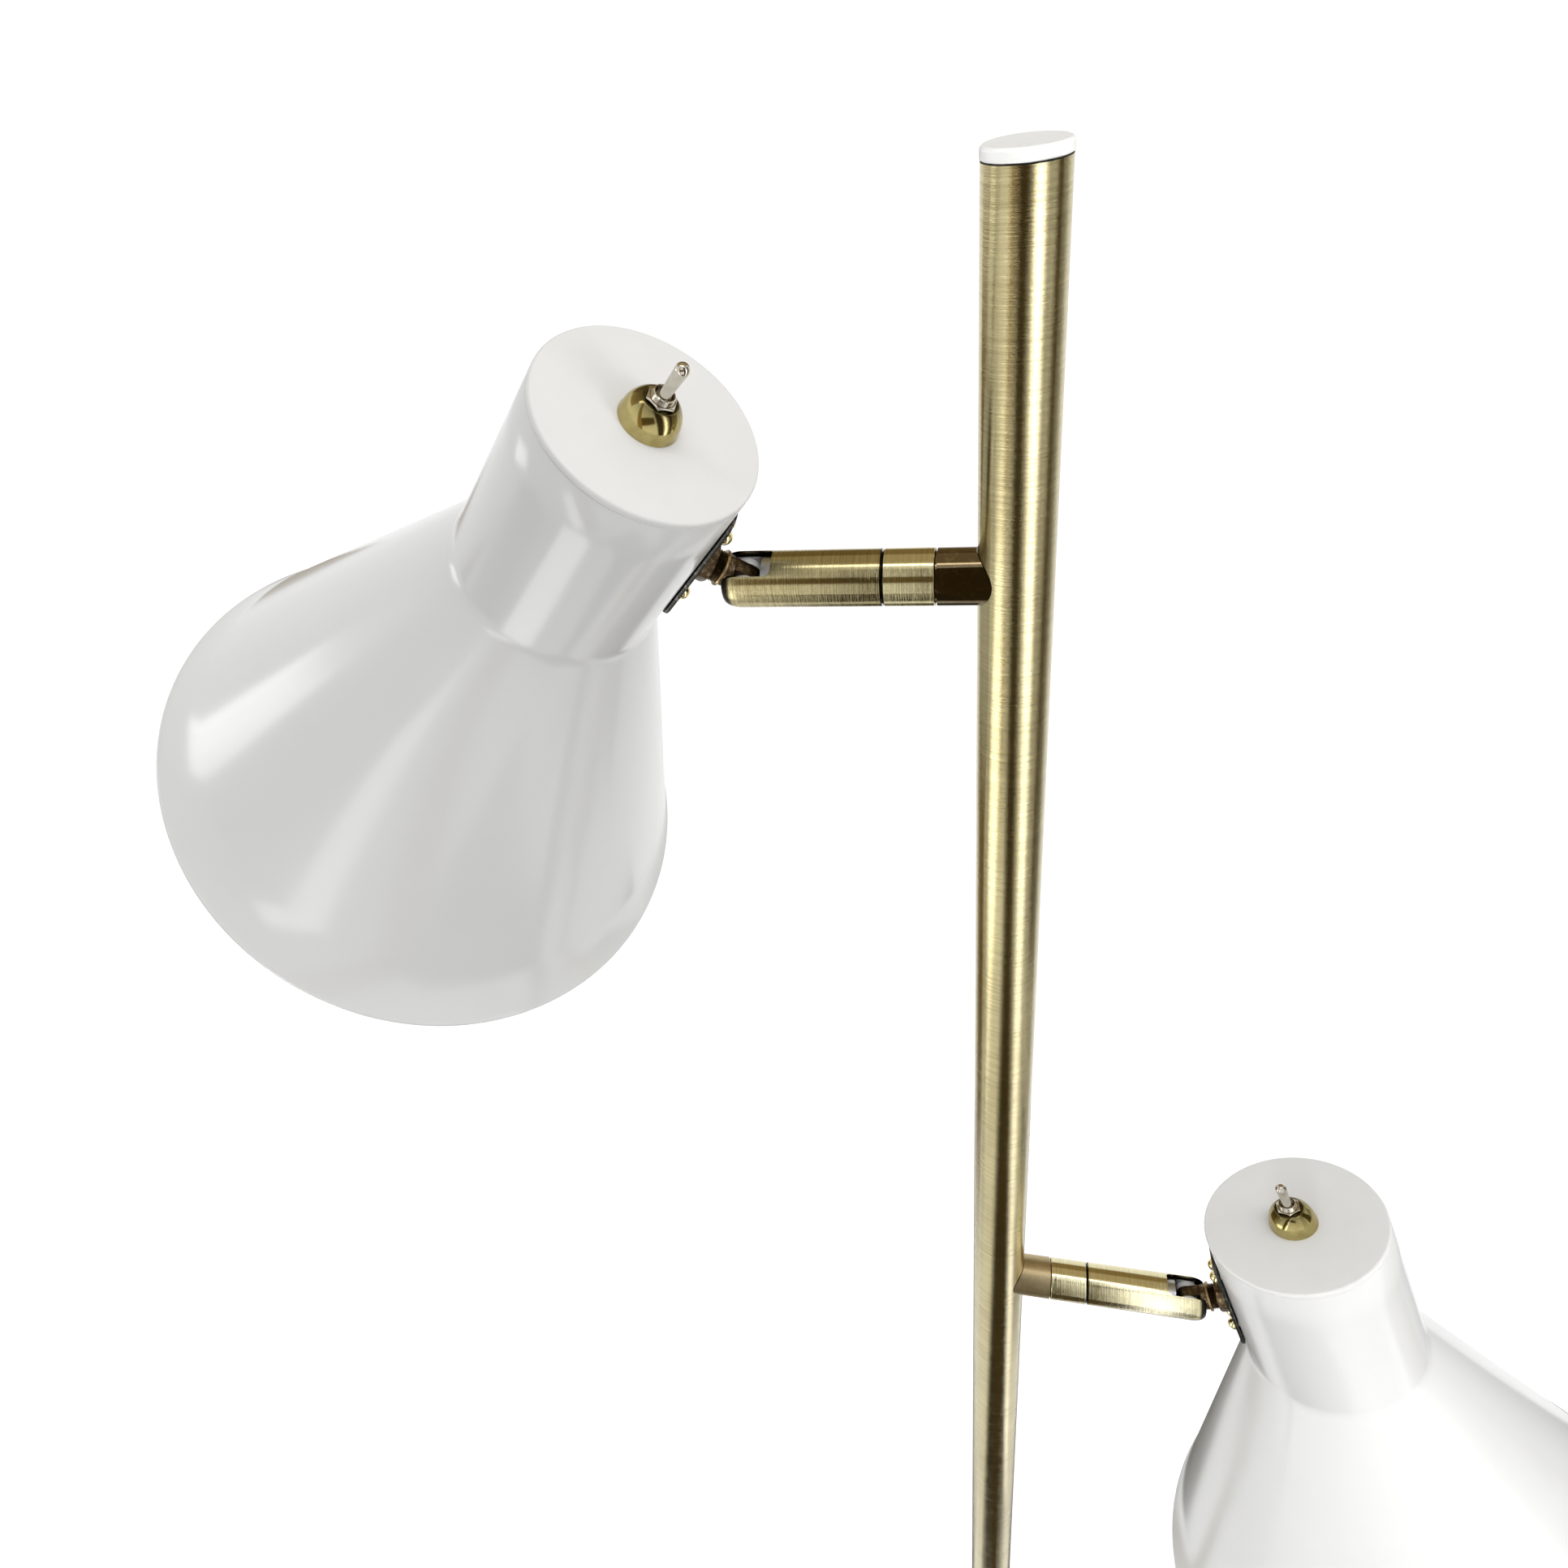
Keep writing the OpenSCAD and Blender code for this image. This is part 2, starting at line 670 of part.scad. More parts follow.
// The bat-shaped lever with its pivot ball. It turns about an axis along the stem.
module toggle_lever(n) {
    ball_r = 2.1;
    tail_r = 0.9;
    tail_len = 5;
    waist_r = 1.25;
    tip_r = 1.85;
    tail_end = -asin(sqrt(1 - pow(tail_r / ball_r, 2)));
    waist_end = asin(sqrt(1 - pow(waist_r / ball_r, 2)));
    color(nickel) on_shade(n) translate([0, 0, lever_pivot_z]) rotate([-lean_side[n - 1] * lever_lean, 0, 0])
        rotate_extrude($fn = fine) polygon(concat(
            [[0, -tail_len], [tail_r, -tail_len]],
            arc([0, 0], ball_r, tail_end, waist_end, 10),
            [[tip_r, lever_len - tip_r]],
            arc([0, lever_len - tip_r], tip_r, 12, 90, 8)));
}

base_pad();
base_weight();
base_washer();
base_nut();
base_stud();
base_cover();
base_collar();
cord_grommet();
lower_pole();
pole_coupler();
upper_pole();
pole_cap();
arm_stub(1);  // arm_stub_1
arm_collar(1);  // arm_collar_1
arm_nipple(1);  // arm_nipple_1
arm_nut(1);  // arm_nut_1
arm_sleeve(1);  // arm_sleeve_1
arm_clevis(1);  // arm_clevis_1
pivot_washers(1);  // pivot_washers_1
pivot_pin(1);  // pivot_pin_1
knuckle(1);  // knuckle_1
knuckle_ring(1);  // knuckle_ring_1
knuckle_nuts(1);  // knuckle_nuts_1
mount_plate(1);  // mount_plate_1
plate_screws(1);  // plate_screws_1
shade(1);  // shade_1
shade_lid(1);  // shade_lid_1
holder_bracket(1);  // holder_bracket_1
lampholder(1);  // lampholder_1
bulb_cap(1);  // bulb_cap_1
bulb_glass(1);  // bulb_glass_1
switch_dome(1);  // switch_dome_1
switch_nut(1);  // switch_nut_1
switch_bushing(1);  // switch_bushing_1
switch_body(1);  // switch_body_1
toggle_lever(1);  // toggle_lever_1
arm_stub(2);  // arm_stub_2
arm_collar(2);  // arm_collar_2
arm_nipple(2);  // arm_nipple_2
arm_nut(2);  // arm_nut_2
arm_sleeve(2);  // arm_sleeve_2
arm_clevis(2);  // arm_clevis_2
pivot_washers(2);  // pivot_washers_2
pivot_pin(2);  // pivot_pin_2
knuckle(2);  // knuckle_2
knuckle_ring(2);  // knuckle_ring_2
knuckle_nuts(2);  // knuckle_nuts_2
mount_plate(2);  // mount_plate_2
plate_screws(2);  // plate_screws_2
shade(2);  // shade_2
shade_lid(2);  // shade_lid_2
holder_bracket(2);  // holder_bracket_2
lampholder(2);  // lampholder_2
bulb_cap(2);  // bulb_cap_2
bulb_glass(2);  // bulb_glass_2
switch_dome(2);  // switch_dome_2
switch_nut(2);  // switch_nut_2
switch_bushing(2);  // switch_bushing_2
switch_body(2);  // switch_body_2
toggle_lever(2);  // toggle_lever_2
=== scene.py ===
# %% [markdown]
# # A brass pole lamp with two white spot heads
#
# The lamp is a slim round pole of brushed, antiqued brass with two short swivel arms. Each arm
# carries a spun white cone shade with a small toggle switch in its lid. The mechanical model gives
# every part its place and size. Here every part gets its finish, and most get a finer shape too.
#
# Blender works in metres. The lamp's own lengths are written in millimetres and multiplied by MM, and
# the studio round it is laid out in metres.

import math

import bmesh
import bpy
from mathutils import Matrix, Vector
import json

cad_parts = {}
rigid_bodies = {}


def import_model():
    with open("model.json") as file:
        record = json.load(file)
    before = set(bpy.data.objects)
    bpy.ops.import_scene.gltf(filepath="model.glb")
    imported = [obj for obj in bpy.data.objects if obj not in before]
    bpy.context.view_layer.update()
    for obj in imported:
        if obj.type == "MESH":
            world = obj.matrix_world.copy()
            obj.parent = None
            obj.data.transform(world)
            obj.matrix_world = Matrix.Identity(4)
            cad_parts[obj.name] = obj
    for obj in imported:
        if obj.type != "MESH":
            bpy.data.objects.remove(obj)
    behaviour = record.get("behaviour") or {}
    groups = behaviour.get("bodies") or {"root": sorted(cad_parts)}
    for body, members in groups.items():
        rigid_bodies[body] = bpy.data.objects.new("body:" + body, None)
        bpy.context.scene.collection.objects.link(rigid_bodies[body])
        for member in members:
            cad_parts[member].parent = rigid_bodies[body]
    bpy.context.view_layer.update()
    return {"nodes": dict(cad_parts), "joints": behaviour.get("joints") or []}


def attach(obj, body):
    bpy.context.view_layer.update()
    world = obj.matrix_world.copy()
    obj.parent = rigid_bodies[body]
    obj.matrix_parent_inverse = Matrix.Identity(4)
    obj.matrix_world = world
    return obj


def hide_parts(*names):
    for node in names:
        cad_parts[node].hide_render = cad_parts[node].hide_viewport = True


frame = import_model()
MM = 0.001
nodes = frame["nodes"]

# %% [markdown]
# ## The camera
#
# The photograph was taken close to the top of the pole, from just above the cap and looking down at
# the heads, slightly tilted. A camera's view is three directions: right, up and backwards. They are
# worked out from the heading, the downward pitch and the tilt of the picture, and then become the
# columns of the camera's matrix. A small lens shift puts the picture's centre where the photo has it.
# The three angles are in radians, and the picture's own measures are in pixels.

# %% Place the camera
HEADING, PITCH, ROLL = -0.3392, 0.582, 0.1697
CAMERA_PLACE = Vector((-1.82, -290.47, 1673.98)) * MM
FOCAL_PX, CENTRE_X, CENTRE_Y, IMAGE_SIDE = 1441.62, 821.89, 894.86, 1932
SENSOR = 36.0

forward = Vector(
    (math.cos(PITCH) * math.sin(HEADING), math.cos(PITCH) * math.cos(HEADING), -math.sin(PITCH))
)
level_right = Vector((math.cos(HEADING), -math.sin(HEADING), 0))
down = forward.cross(level_right)
right = math.cos(ROLL) * level_right + math.sin(ROLL) * down
up = math.sin(ROLL) * level_right - math.cos(ROLL) * down

camera_data = bpy.data.cameras.new("camera")
camera = bpy.data.objects.new("camera", camera_data)
bpy.context.scene.collection.objects.link(camera)
camera.matrix_world = Matrix.Translation(CAMERA_PLACE) @ Matrix((right, up, -forward)).transposed().to_4x4()
camera_data.sensor_width = SENSOR
camera_data.lens = FOCAL_PX / IMAGE_SIDE * SENSOR
camera_data.shift_x = (IMAGE_SIDE / 2 - CENTRE_X) / IMAGE_SIDE
camera_data.shift_y = (CENTRE_Y - IMAGE_SIDE / 2) / IMAGE_SIDE
camera_data.clip_start = 0.01
bpy.context.scene.camera = camera
print("lens in mm:", round(camera_data.lens, 2))

# %% [markdown]
# ## Frames for the arms and heads
#
# Each arm lies level, each head is swivelled and tilted, and each shade stands at an angle. It is
# much easier to model a round part upright at the origin and then put it in place. A frame is the
# matrix that does this. The joints of the mechanical model say where the frames are: the swivel
# joint runs out along the arm, the tilt joint crosses it, and the toggle joint lies along the stem.

# %% Read the frames from the joints
joints = {j["name"]: j for j in frame["joints"]}
LEVER_PIVOT_HEIGHT = 7.0


def frame_at(origin, x_axis, y_axis):
    """A matrix with its origin at a point and its X and Y along two directions."""
    z_axis = x_axis.cross(y_axis)
    columns = Matrix((x_axis, y_axis, z_axis)).transposed()
    return Matrix.Translation(origin) @ columns.to_4x4()


arm_frame, head_frame, shade_frame = {}, {}, {}
for n in (1, 2):
    swivel, tilt, toggle = (joints[f"{kind}_{n}"] for kind in ("swivel", "tilt", "toggle"))
    cross = -Vector(tilt["axis"]).normalized()
    out = Vector(swivel["axis"]).normalized()
    stem = Vector(toggle["axis"]).normalized()
    stem *= 1 if stem.dot(out) > 0 else -1
    arm_frame[n] = frame_at(Vector(swivel["pos_m"]), out, cross)
    head_frame[n] = frame_at(Vector(tilt["pos_m"]), stem, cross)
    axis_up = stem.cross(cross)
    shade_frame[n] = frame_at(Vector(toggle["pos_m"]) - axis_up * LEVER_PIVOT_HEIGHT * MM, stem, cross)
    print(f"lid {n} in mm:", [round(v / MM, 1) for v in shade_frame[n].translation])

POLE_FRAME = Matrix.Identity(4)
ALONG_X = Matrix.Rotation(math.radians(90), 4, "Y")

# %% [markdown]
# ## Modelling helpers
#
# Most parts of a lamp are turned on a lathe or spun. A turned part starts as a circle, and each
# step of its outline is one extrude and one scale of that ring, as on a potter's wheel. The other
# parts start as a block or a six-sided bar that is bevelled and cut. A Screw modifier could turn an
# outline too, but it hides the steps, and here they can be followed ring by ring. The operators act
# on all that is selected, so every helper that uses them starts by clearing the selection.


# %% Helpers: select, finish and place
def clear_selection():
    for thing in bpy.context.selected_objects:
        thing.select_set(False)


def pick(thing):
    clear_selection()
    thing.select_set(True)
    bpy.context.view_layer.objects.active = thing


def settle(thing, name, place=POLE_FRAME, smooth_angle=32):
    """Names a finished piece, puts it in place and moves that place into its mesh."""
    thing.name = thing.data.name = name
    thing.matrix_world = place @ thing.matrix_world
    pick(thing)
    bpy.ops.object.transform_apply(location=True, rotation=True, scale=True)
    bpy.ops.object.shade_smooth_by_angle(angle=math.radians(smooth_angle))
    return thing


def clean(thing, merge=0.001):
    """Merges doubled points and turns all faces outwards."""
    pick(thing)
    bpy.ops.object.mode_set(mode="EDIT")
    bpy.ops.mesh.select_all(action="SELECT")
    bpy.ops.mesh.remove_doubles(threshold=merge * MM)
    bpy.ops.mesh.normals_make_consistent(inside=False)
    bpy.ops.object.mode_set(mode="OBJECT")


def apply_modifier(thing, kind, **settings):
    pick(thing)
    modifier = thing.modifiers.new(kind.lower(), kind)
    for key, value in settings.items():
        setattr(modifier, key, value)
    bpy.ops.object.modifier_apply(modifier=modifier.name)


def combine(thing, other, operation):
    """Joins, cuts or intersects one solid with another, which is used up."""
    apply_modifier(thing, "BOOLEAN", operation=operation, object=other, solver="EXACT")
    bpy.data.objects.remove(other)


def join(things):
    """Makes one piece of several, under the name of the first."""
    clear_selection()
    for thing in things:
        thing.select_set(True)
    bpy.context.view_layer.objects.active = things[0]
    bpy.ops.object.join()
    return things[0]


def soften(thing, width, segments=2, angle=35):
    """Rounds the sharp edges a little, as on every real part."""
    apply_modifier(
        thing, "BEVEL", width=width * MM, segments=segments, limit_method="ANGLE",
        angle_limit=math.radians(angle), use_clamp_overlap=True,
    )


# %% Helpers: a turned part, a round corner, a block and a six-sided bar
def corner(centre, radius, start, end, steps):
    """Points of (radius, height) on an arc of the outline, from start to end in degrees."""
    angles = [math.radians(start + (end - start) * i / steps) for i in range(steps + 1)]
    return [(centre[0] + radius * math.cos(a), centre[1] + radius * math.sin(a)) for a in angles]


def turned(outline, sides=96):
    """Turns an outline of (radius, height) in mm about Z. It ends on the axis or where it began."""
    points = list(outline)
    start_pole = points.pop(0) if points[0][0] == 0 else None
    clear_selection()
    bpy.ops.mesh.primitive_circle_add(
        vertices=sides, radius=points[0][0] * MM, location=(0, 0, points[0][1] * MM), fill_type="NOTHING"
    )
    thing = bpy.context.object
    bpy.ops.object.mode_set(mode="EDIT")
    bpy.ops.mesh.select_all(action="SELECT")
    for (r0, z0), (r1, z1) in zip(points, points[1:]):
        bpy.ops.mesh.extrude_region_move(TRANSFORM_OT_translate={"value": (0, 0, (z1 - z0) * MM)})
        if r1 == 0:
            bpy.ops.mesh.merge(type="CENTER")
        elif r1 != r0:
            bpy.ops.transform.resize(value=(r1 / r0, r1 / r0, 1), center_override=(0, 0, 0))
    if start_pole:
        bpy.ops.mesh.select_all(action="DESELECT")
        bpy.ops.mesh.select_non_manifold(
            extend=False, use_wire=False, use_boundary=True, use_multi_face=False,
            use_non_contiguous=False, use_verts=False,
        )
        rise = (start_pole[1] - points[0][1]) * MM
        bpy.ops.mesh.extrude_region_move(TRANSFORM_OT_translate={"value": (0, 0, rise)})
        bpy.ops.mesh.merge(type="CENTER")
    bpy.ops.object.mode_set(mode="OBJECT")
    clean(thing)
    bpy.ops.object.transform_apply(location=True, rotation=True, scale=True)
    return thing


def block(low, high):
    """A block between two corners in mm."""
    clear_selection()
    low, high = Vector(low), Vector(high)
    bpy.ops.mesh.primitive_cube_add(size=1, location=(low + high) / 2 * MM, scale=(high - low) * MM)
    thing = bpy.context.object
    pick(thing)
    bpy.ops.object.transform_apply(location=True, rotation=True, scale=True)
    return thing


def round_edges(thing, chosen, width, segments):
    """Bevels the edges for which chosen(end_a, end_b) is true, with both ends in mm."""
    pick(thing)
    bpy.ops.object.mode_set(mode="EDIT")
    mesh = bmesh.from_edit_mesh(thing.data)
    for edge in mesh.edges:
        edge.select_set(bool(chosen(*(v.co / MM for v in edge.verts))))
    bmesh.update_edit_mesh(thing.data)
    bpy.ops.mesh.select_mode(type="EDGE")
    bpy.ops.mesh.bevel(offset=width * MM, segments=segments, affect="EDGES")
    bpy.ops.mesh.select_mode(type="VERT")
    bpy.ops.object.mode_set(mode="OBJECT")


def point_radius(flats):
    """The distance from the middle of a six-sided bar to its corners."""
    return flats / 2 / math.cos(math.radians(30))


def hex_bar(flats, low, high):
    """A six-sided bar along Z, flats mm across."""
    clear_selection()
    bpy.ops.mesh.primitive_cylinder_add(
        vertices=6, radius=point_radius(flats) * MM, depth=(high - low) * MM,
        location=(0, 0, (low + high) / 2 * MM),
    )
    return bpy.context.object


def hex_nut(flats, bore, low, high, chamfer=0.5):
    """A six-sided nut along Z whose corners are turned off on both faces."""
    outer_r = point_radius(flats) + 0.05
    face_r = flats / 2 * 0.97
    ring = turned([
        (bore, low), (face_r, low), (outer_r, low + chamfer), (outer_r, high - chamfer),
        (face_r, high), (bore, high), (bore, low),
    ])
    nut = hex_bar(flats, low - 1, high + 1)
    combine(nut, ring, "INTERSECT")
    clean(nut)
    return nut


# %% [markdown]
# ## Helpers for the finishes
#
# Every finish is a small network of nodes. The patterns are measured in the part's own frame and in
# millimetres: a Mapping node of type Texture takes the object's coordinates back through the part's
# place, turn and scale. A brush line of a turned part then always runs round its own axis, also
# where the part stands at an angle.

# %% Helpers: nodes
# A noise has its middle value at whole coordinates, as at a part's origin, so its patterns are shifted.
NOISE_SHIFT = (0.37, 0.61, 0.23)


class Finish:
    """A material under construction: its tree, its shader and its coordinates in mm."""

    def __init__(self, name, place=POLE_FRAME):
        self.material = bpy.data.materials.new(name)
        self.material.use_nodes = True
        self.tree = self.material.node_tree
        self.shader = self.tree.nodes["Principled BSDF"]
        coordinates = self.tree.nodes.new("ShaderNodeTexCoord")
        mapping = self.tree.nodes.new("ShaderNodeMapping")
        mapping.vector_type = "TEXTURE"
        mapping.inputs["Location"].default_value = place.translation
        mapping.inputs["Rotation"].default_value = place.to_euler()
        mapping.inputs["Scale"].default_value = (MM, MM, MM)
        self.tree.links.new(coordinates.outputs["Object"], mapping.inputs["Vector"])
        self.place = mapping.outputs["Vector"]

    def node(self, kind, **settings):
        node = self.tree.nodes.new("ShaderNode" + kind)
        for key, value in settings.items():
            setattr(node, key, value)
        return node

    def link(self, source, target):
        self.tree.links.new(source, target)

    def set(self, **values):
        """Sets the shader's own sockets. An underscore stands for a space."""
        for key, value in values.items():
            socket = self.shader.inputs[key.replace("_", " ")]
            if hasattr(value, "node"):
                self.link(value, socket)
            elif hasattr(socket.default_value, "__len__") and len(value) == 3:
                socket.default_value = (*value, 1)
            else:
                socket.default_value = value
        return self

    def stretched(self, x, y, z):
        """The coordinates times three factors: a small factor makes long marks that way."""
        node = self.node("VectorMath", operation="MULTIPLY_ADD")
        self.link(self.place, node.inputs[0])
        node.inputs[1].default_value = (x, y, z)
        node.inputs[2].default_value = NOISE_SHIFT
        return node.outputs["Vector"]

    def along_axis(self):
        """The height in mm along the part's own axis."""
        node = self.node("SeparateXYZ")
        self.link(self.place, node.inputs[0])
        return node.outputs["Z"]

    def from_axis(self):
        """The distance in mm from the part's own axis."""
        flat = self.node("VectorMath", operation="MULTIPLY")
        self.link(self.place, flat.inputs[0])
        flat.inputs[1].default_value = (1, 1, 0)
        length = self.node("VectorMath", operation="LENGTH")
        self.link(flat.outputs["Vector"], length.inputs[0])
        return length.outputs["Value"]

    def noise(self, vector, scale=1.0, detail=3.0, rough=0.5, bend=0.0):
        node = self.node("TexNoise")
        self.link(vector, node.inputs["Vector"])
        node.inputs["Scale"].default_value = scale
        node.inputs["Detail"].default_value = detail
        node.inputs["Roughness"].default_value = rough
        node.inputs["Distortion"].default_value = bend
        return node.outputs["Fac"]

    def ramp(self, value, low, high, to_low=0.0, to_high=1.0):
        node = self.node("MapRange")
        self.link(value, node.inputs["Value"])
        limits = {"From Min": low, "From Max": high, "To Min": to_low, "To Max": to_high}
        for key, number in limits.items():
            node.inputs[key].default_value = number
        return node.outputs["Result"]

    def mix(self, amount, colour_a, colour_b, blend="MIX"):
        node = self.node("Mix", data_type="RGBA", blend_type=blend)
        sockets = [s for s in node.inputs if s.enabled]
        for socket, value in zip(sockets, (amount, colour_a, colour_b)):
            if hasattr(value, "node"):
                self.link(value, socket)
            elif hasattr(value, "__len__"):
                socket.default_value = (*value, 1)
            else:
                socket.default_value = value
        return next(s for s in node.outputs if s.enabled)

    def sum(self, a, b, weight=1.0):
        node = self.node("Math", operation="MULTIPLY_ADD")
        self.link(b, node.inputs[0])
        node.inputs[1].default_value = weight
        self.link(a, node.inputs[2])
        return node.outputs["Value"]

    def bump(self, height, depth, strength=1.0):
        """Raises the surface by height, from 0 to 1, times depth in mm."""
        node = self.node("Bump")
        node.inputs["Strength"].default_value = strength
        node.inputs["Distance"].default_value = depth * MM
        self.link(height, node.inputs["Height"])
        self.link(node.outputs["Normal"], self.shader.inputs["Normal"])


def coat(thing, finish):
    """Gives a piece or a node of the model its material."""
    thing.data.materials.clear()
    thing.data.materials.append(finish.material)


def pair(make, name, frames, *look):
    """The same finish for both arms or heads, each in the frame of its own piece."""
    return {n: make(f"{name}_{n}", frames[n], *look) for n in (1, 2)}


made = {}


def add_piece(thing, body, finish, slot, *stands_for):
    """A new piece rides on its body and stands for its nodes of the model."""
    coat(thing, finish)
    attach(thing, body)
    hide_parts(*stands_for)
    made[thing.name] = len(thing.data.polygons)
    print(thing.name, "has", len(thing.data.polygons), "faces")


# %% [markdown]
# ## Brushed antique brass
#
# The pole and the arms were plated with brass, darkened and then brushed round while they turned.
# The brush leaves thousands of hair lines round the part, finer than a tenth of a millimetre, with a
# few deeper ones. They spread each reflection along the part, so the light makes long bands. A
# picture of brushed metal would repeat and show a seam. Noise that is squeezed along the axis and
# stretched round it gives lines that never repeat, and a slow cloudy noise gives the uneven
# darkening.


# %% Finish: brushed antique brass
def brushed_brass(name, place, bright=(0.60, 0.53, 0.30), dark=(0.33, 0.275, 0.135), cloud=0.3, depth=0.03):
    finish = Finish(name, place)
    hair = finish.noise(finish.stretched(0.03, 0.03, 2.4), detail=4, rough=0.75)
    line = finish.noise(finish.stretched(0.02, 0.02, 0.6), detail=2)
    smoke = finish.noise(finish.stretched(0.06, 0.06, 0.02), detail=3, rough=0.6)
    streaks = finish.sum(finish.ramp(hair, 0.3, 0.7), finish.ramp(line, 0.35, 0.65), 0.15)
    tone = finish.ramp(streaks, 0.1, 1.15, 0.0, 0.6)
    shade = finish.sum(tone, finish.ramp(smoke, 0.35, 0.7), cloud)
    finish.set(
        Base_Color=finish.mix(finish.ramp(shade, 0.0, 0.9), bright, dark),
        Metallic=1.0,
        Roughness=finish.ramp(streaks, 0.0, 1.25, 0.1, 0.16),
    )
    finish.bump(streaks, depth, 0.8)
    return finish


# The near-black used for dark joint lines, and for painted shade and painted reflection.
JOINT_AND_SHADE_DARK = (0.012, 0.009, 0.006)


def darken_joints_and_shade(finish, start, end, low, high, value):
    """Darkens a finish by start to end where value goes from low to high. It draws dark joint lines, and
    painted shade and painted reflection in hollows, on a dome and under a cap.
    """
    socket = finish.shader.inputs["Base Color"]
    bare_colour = socket.links[0].from_socket
    darkening_amount = finish.ramp(value, low, high, start, end)
    finish.set(Base_Color=finish.mix(darkening_amount, bare_colour, JOINT_AND_SHADE_DARK))


SEAMS, SEAM_HALF = (20.5, 34.9), 0.42
SLEEVE_INSIDE, SLEEVE_END = 7.75, 79.5
# How dark the seam lines are, and how strong the painted shade is inside the tube and at its tip.
SEAM_DARK, INSIDE_SHADE, TIP_SHADE = 0.93, 0.96, 0.8


def arm_finish(name, place, **looks):
    """Brushed brass with dark seam lines, and painted shade inside the tube, on its rounded end and towards
    its tip.
    """
    finish = brushed_brass(name, place, **looks)
    height = finish.along_axis()
    for seam in SEAMS:
        apart = finish.node("Math", operation="COMPARE")
        finish.link(height, apart.inputs[0])
        apart.inputs[1].default_value = seam
        apart.inputs[2].default_value = SEAM_HALF
        darken_joints_and_shade(finish, 0, SEAM_DARK, 0, 1, apart.outputs["Value"])
    # Painted shade: darker inside the tube, on the slot's walls and rounded end, and darker towards the
    # tip.
    darken_joints_and_shade(finish, INSIDE_SHADE, 0, SLEEVE_INSIDE - 0.3, SLEEVE_INSIDE, finish.from_axis())
    darken_joints_and_shade(finish, 0, TIP_SHADE, SLEEVE_END - 3, SLEEVE_END, height)
    return finish


PALE = {"bright": (0.70, 0.64, 0.39), "dark": (0.48, 0.42, 0.22), "cloud": 0.08}
# Both arms are the same brass. The first arm's sleeve is painted darker, as painted shade, and the second
# arm's sleeve and collar lighter, as painted light, for how the light falls on each.
SHADED_ARM_1 = {"bright": (0.55, 0.485, 0.27), "dark": (0.24, 0.2, 0.095), "cloud": 0.1, "depth": 0.04}
LIT_ARM_2 = {"bright": (0.80, 0.74, 0.47), "dark": (0.58, 0.52, 0.3), "cloud": 0.08}
pole_brass = brushed_brass("brushed_brass_pole", POLE_FRAME)
arm_brass = {
    1: arm_finish("brushed_brass_arm_1", arm_frame[1] @ ALONG_X, **SHADED_ARM_1),
    2: arm_finish("brushed_brass_arm_2", arm_frame[2] @ ALONG_X, **LIT_ARM_2),
}
pale_brass = {
    1: arm_finish("pale_brass_arm_1", arm_frame[1] @ ALONG_X, **PALE),
    2: arm_finish("pale_brass_arm_2", arm_frame[2] @ ALONG_X, **LIT_ARM_2),
}
base_collar_brass = brushed_brass("pale_brass_base", POLE_FRAME, **PALE)
print("brushed brass:", pole_brass.material.name, "and", len(arm_brass) + len(pale_brass), "for the arms")

# %% [markdown]
# ## Dark bronze, polished brass, nickel and the hidden metals
#
# The fittings at the knuckle are darkened almost to brown, and worn bright in small specks where
# they were handled. The domes round the switches and the screws are polished brass, which shows
# sharp reflections, slight smears and hair scratches, and each dome has a painted dark reflection
# round its nut. The switch is plated with nickel. The hidden parts are plain zinc-plated steel and
# cast iron. Each kind of metal is one recipe, and its colours and roughness are given again for
# every fitting, because they have aged differently. The two arm stubs differ only for the light:
# the first is painted darker, as painted shade, and the second paler, as painted light.


# %% Finish: dark bronze
def worn_bronze(
    name, place, dark=(0.075, 0.05, 0.026), worn=(0.42, 0.33, 0.18), specks=0.6, rough=0.26, depth=0.03
):
    finish = Finish(name, place)
    patch = finish.noise(finish.place, scale=0.55, detail=5, rough=0.65)
    speck = finish.noise(finish.place, scale=3.2, detail=3, rough=0.7)
    wear = finish.sum(finish.ramp(patch, 0.5, 0.75), finish.ramp(speck, 0.56, 0.7), specks)
    finish.set(
        Base_Color=finish.mix(finish.ramp(wear, 0.1, 1.0), dark, worn),
        Metallic=1.0,
        Roughness=finish.ramp(speck, 0.3, 0.7, rough, rough * 1.7),
    )
    finish.bump(finish.sum(speck, patch), depth, 0.6)
    return finish


# %% Finish: polished metal
def polished(name, place, colour, smear_colour, rough=0.07):
    finish = Finish(name, place)
    smear = finish.noise(finish.place, scale=0.35, detail=3)
    hair = finish.noise(finish.stretched(0.5, 8.0, 3.0), detail=2, bend=0.6)
    finish.set(
        Base_Color=finish.mix(finish.ramp(smear, 0.4, 0.75), colour, smear_colour),
        Metallic=1.0,
        Roughness=finish.ramp(smear, 0.35, 0.7, rough, rough + 0.07),
    )
    finish.bump(finish.ramp(hair, 0.45, 0.55), 0.004, 0.2)
    return finish


# %% Finish: zinc-plated steel and cast iron
def plated_steel(name, place=POLE_FRAME):
    finish = Finish(name, place)
    grain = finish.noise(finish.place, scale=1.6, detail=4, rough=0.6)
    fine = finish.noise(finish.place, scale=9.0, detail=2)
    finish.set(
        Base_Color=finish.mix(finish.ramp(grain, 0.35, 0.7), (0.52, 0.53, 0.55), (0.4, 0.4, 0.4)),
        Metallic=1.0,
        Roughness=finish.ramp(fine, 0.3, 0.7, 0.26, 0.42),
    )
    finish.bump(finish.sum(grain, fine, 0.4), 0.02, 0.4)
    return finish


def cast_iron(name):
    finish = Finish(name)
    sand = finish.noise(finish.place, scale=1.2, detail=5, rough=0.7)
    finish.set(
        Base_Color=finish.mix(sand, (0.035, 0.035, 0.037), (0.075, 0.072, 0.07)),
        Metallic=0.6,
        Roughness=finish.ramp(sand, 0.3, 0.7, 0.5, 0.75),
    )
    finish.bump(sand, 0.25, 0.8)
    return finish


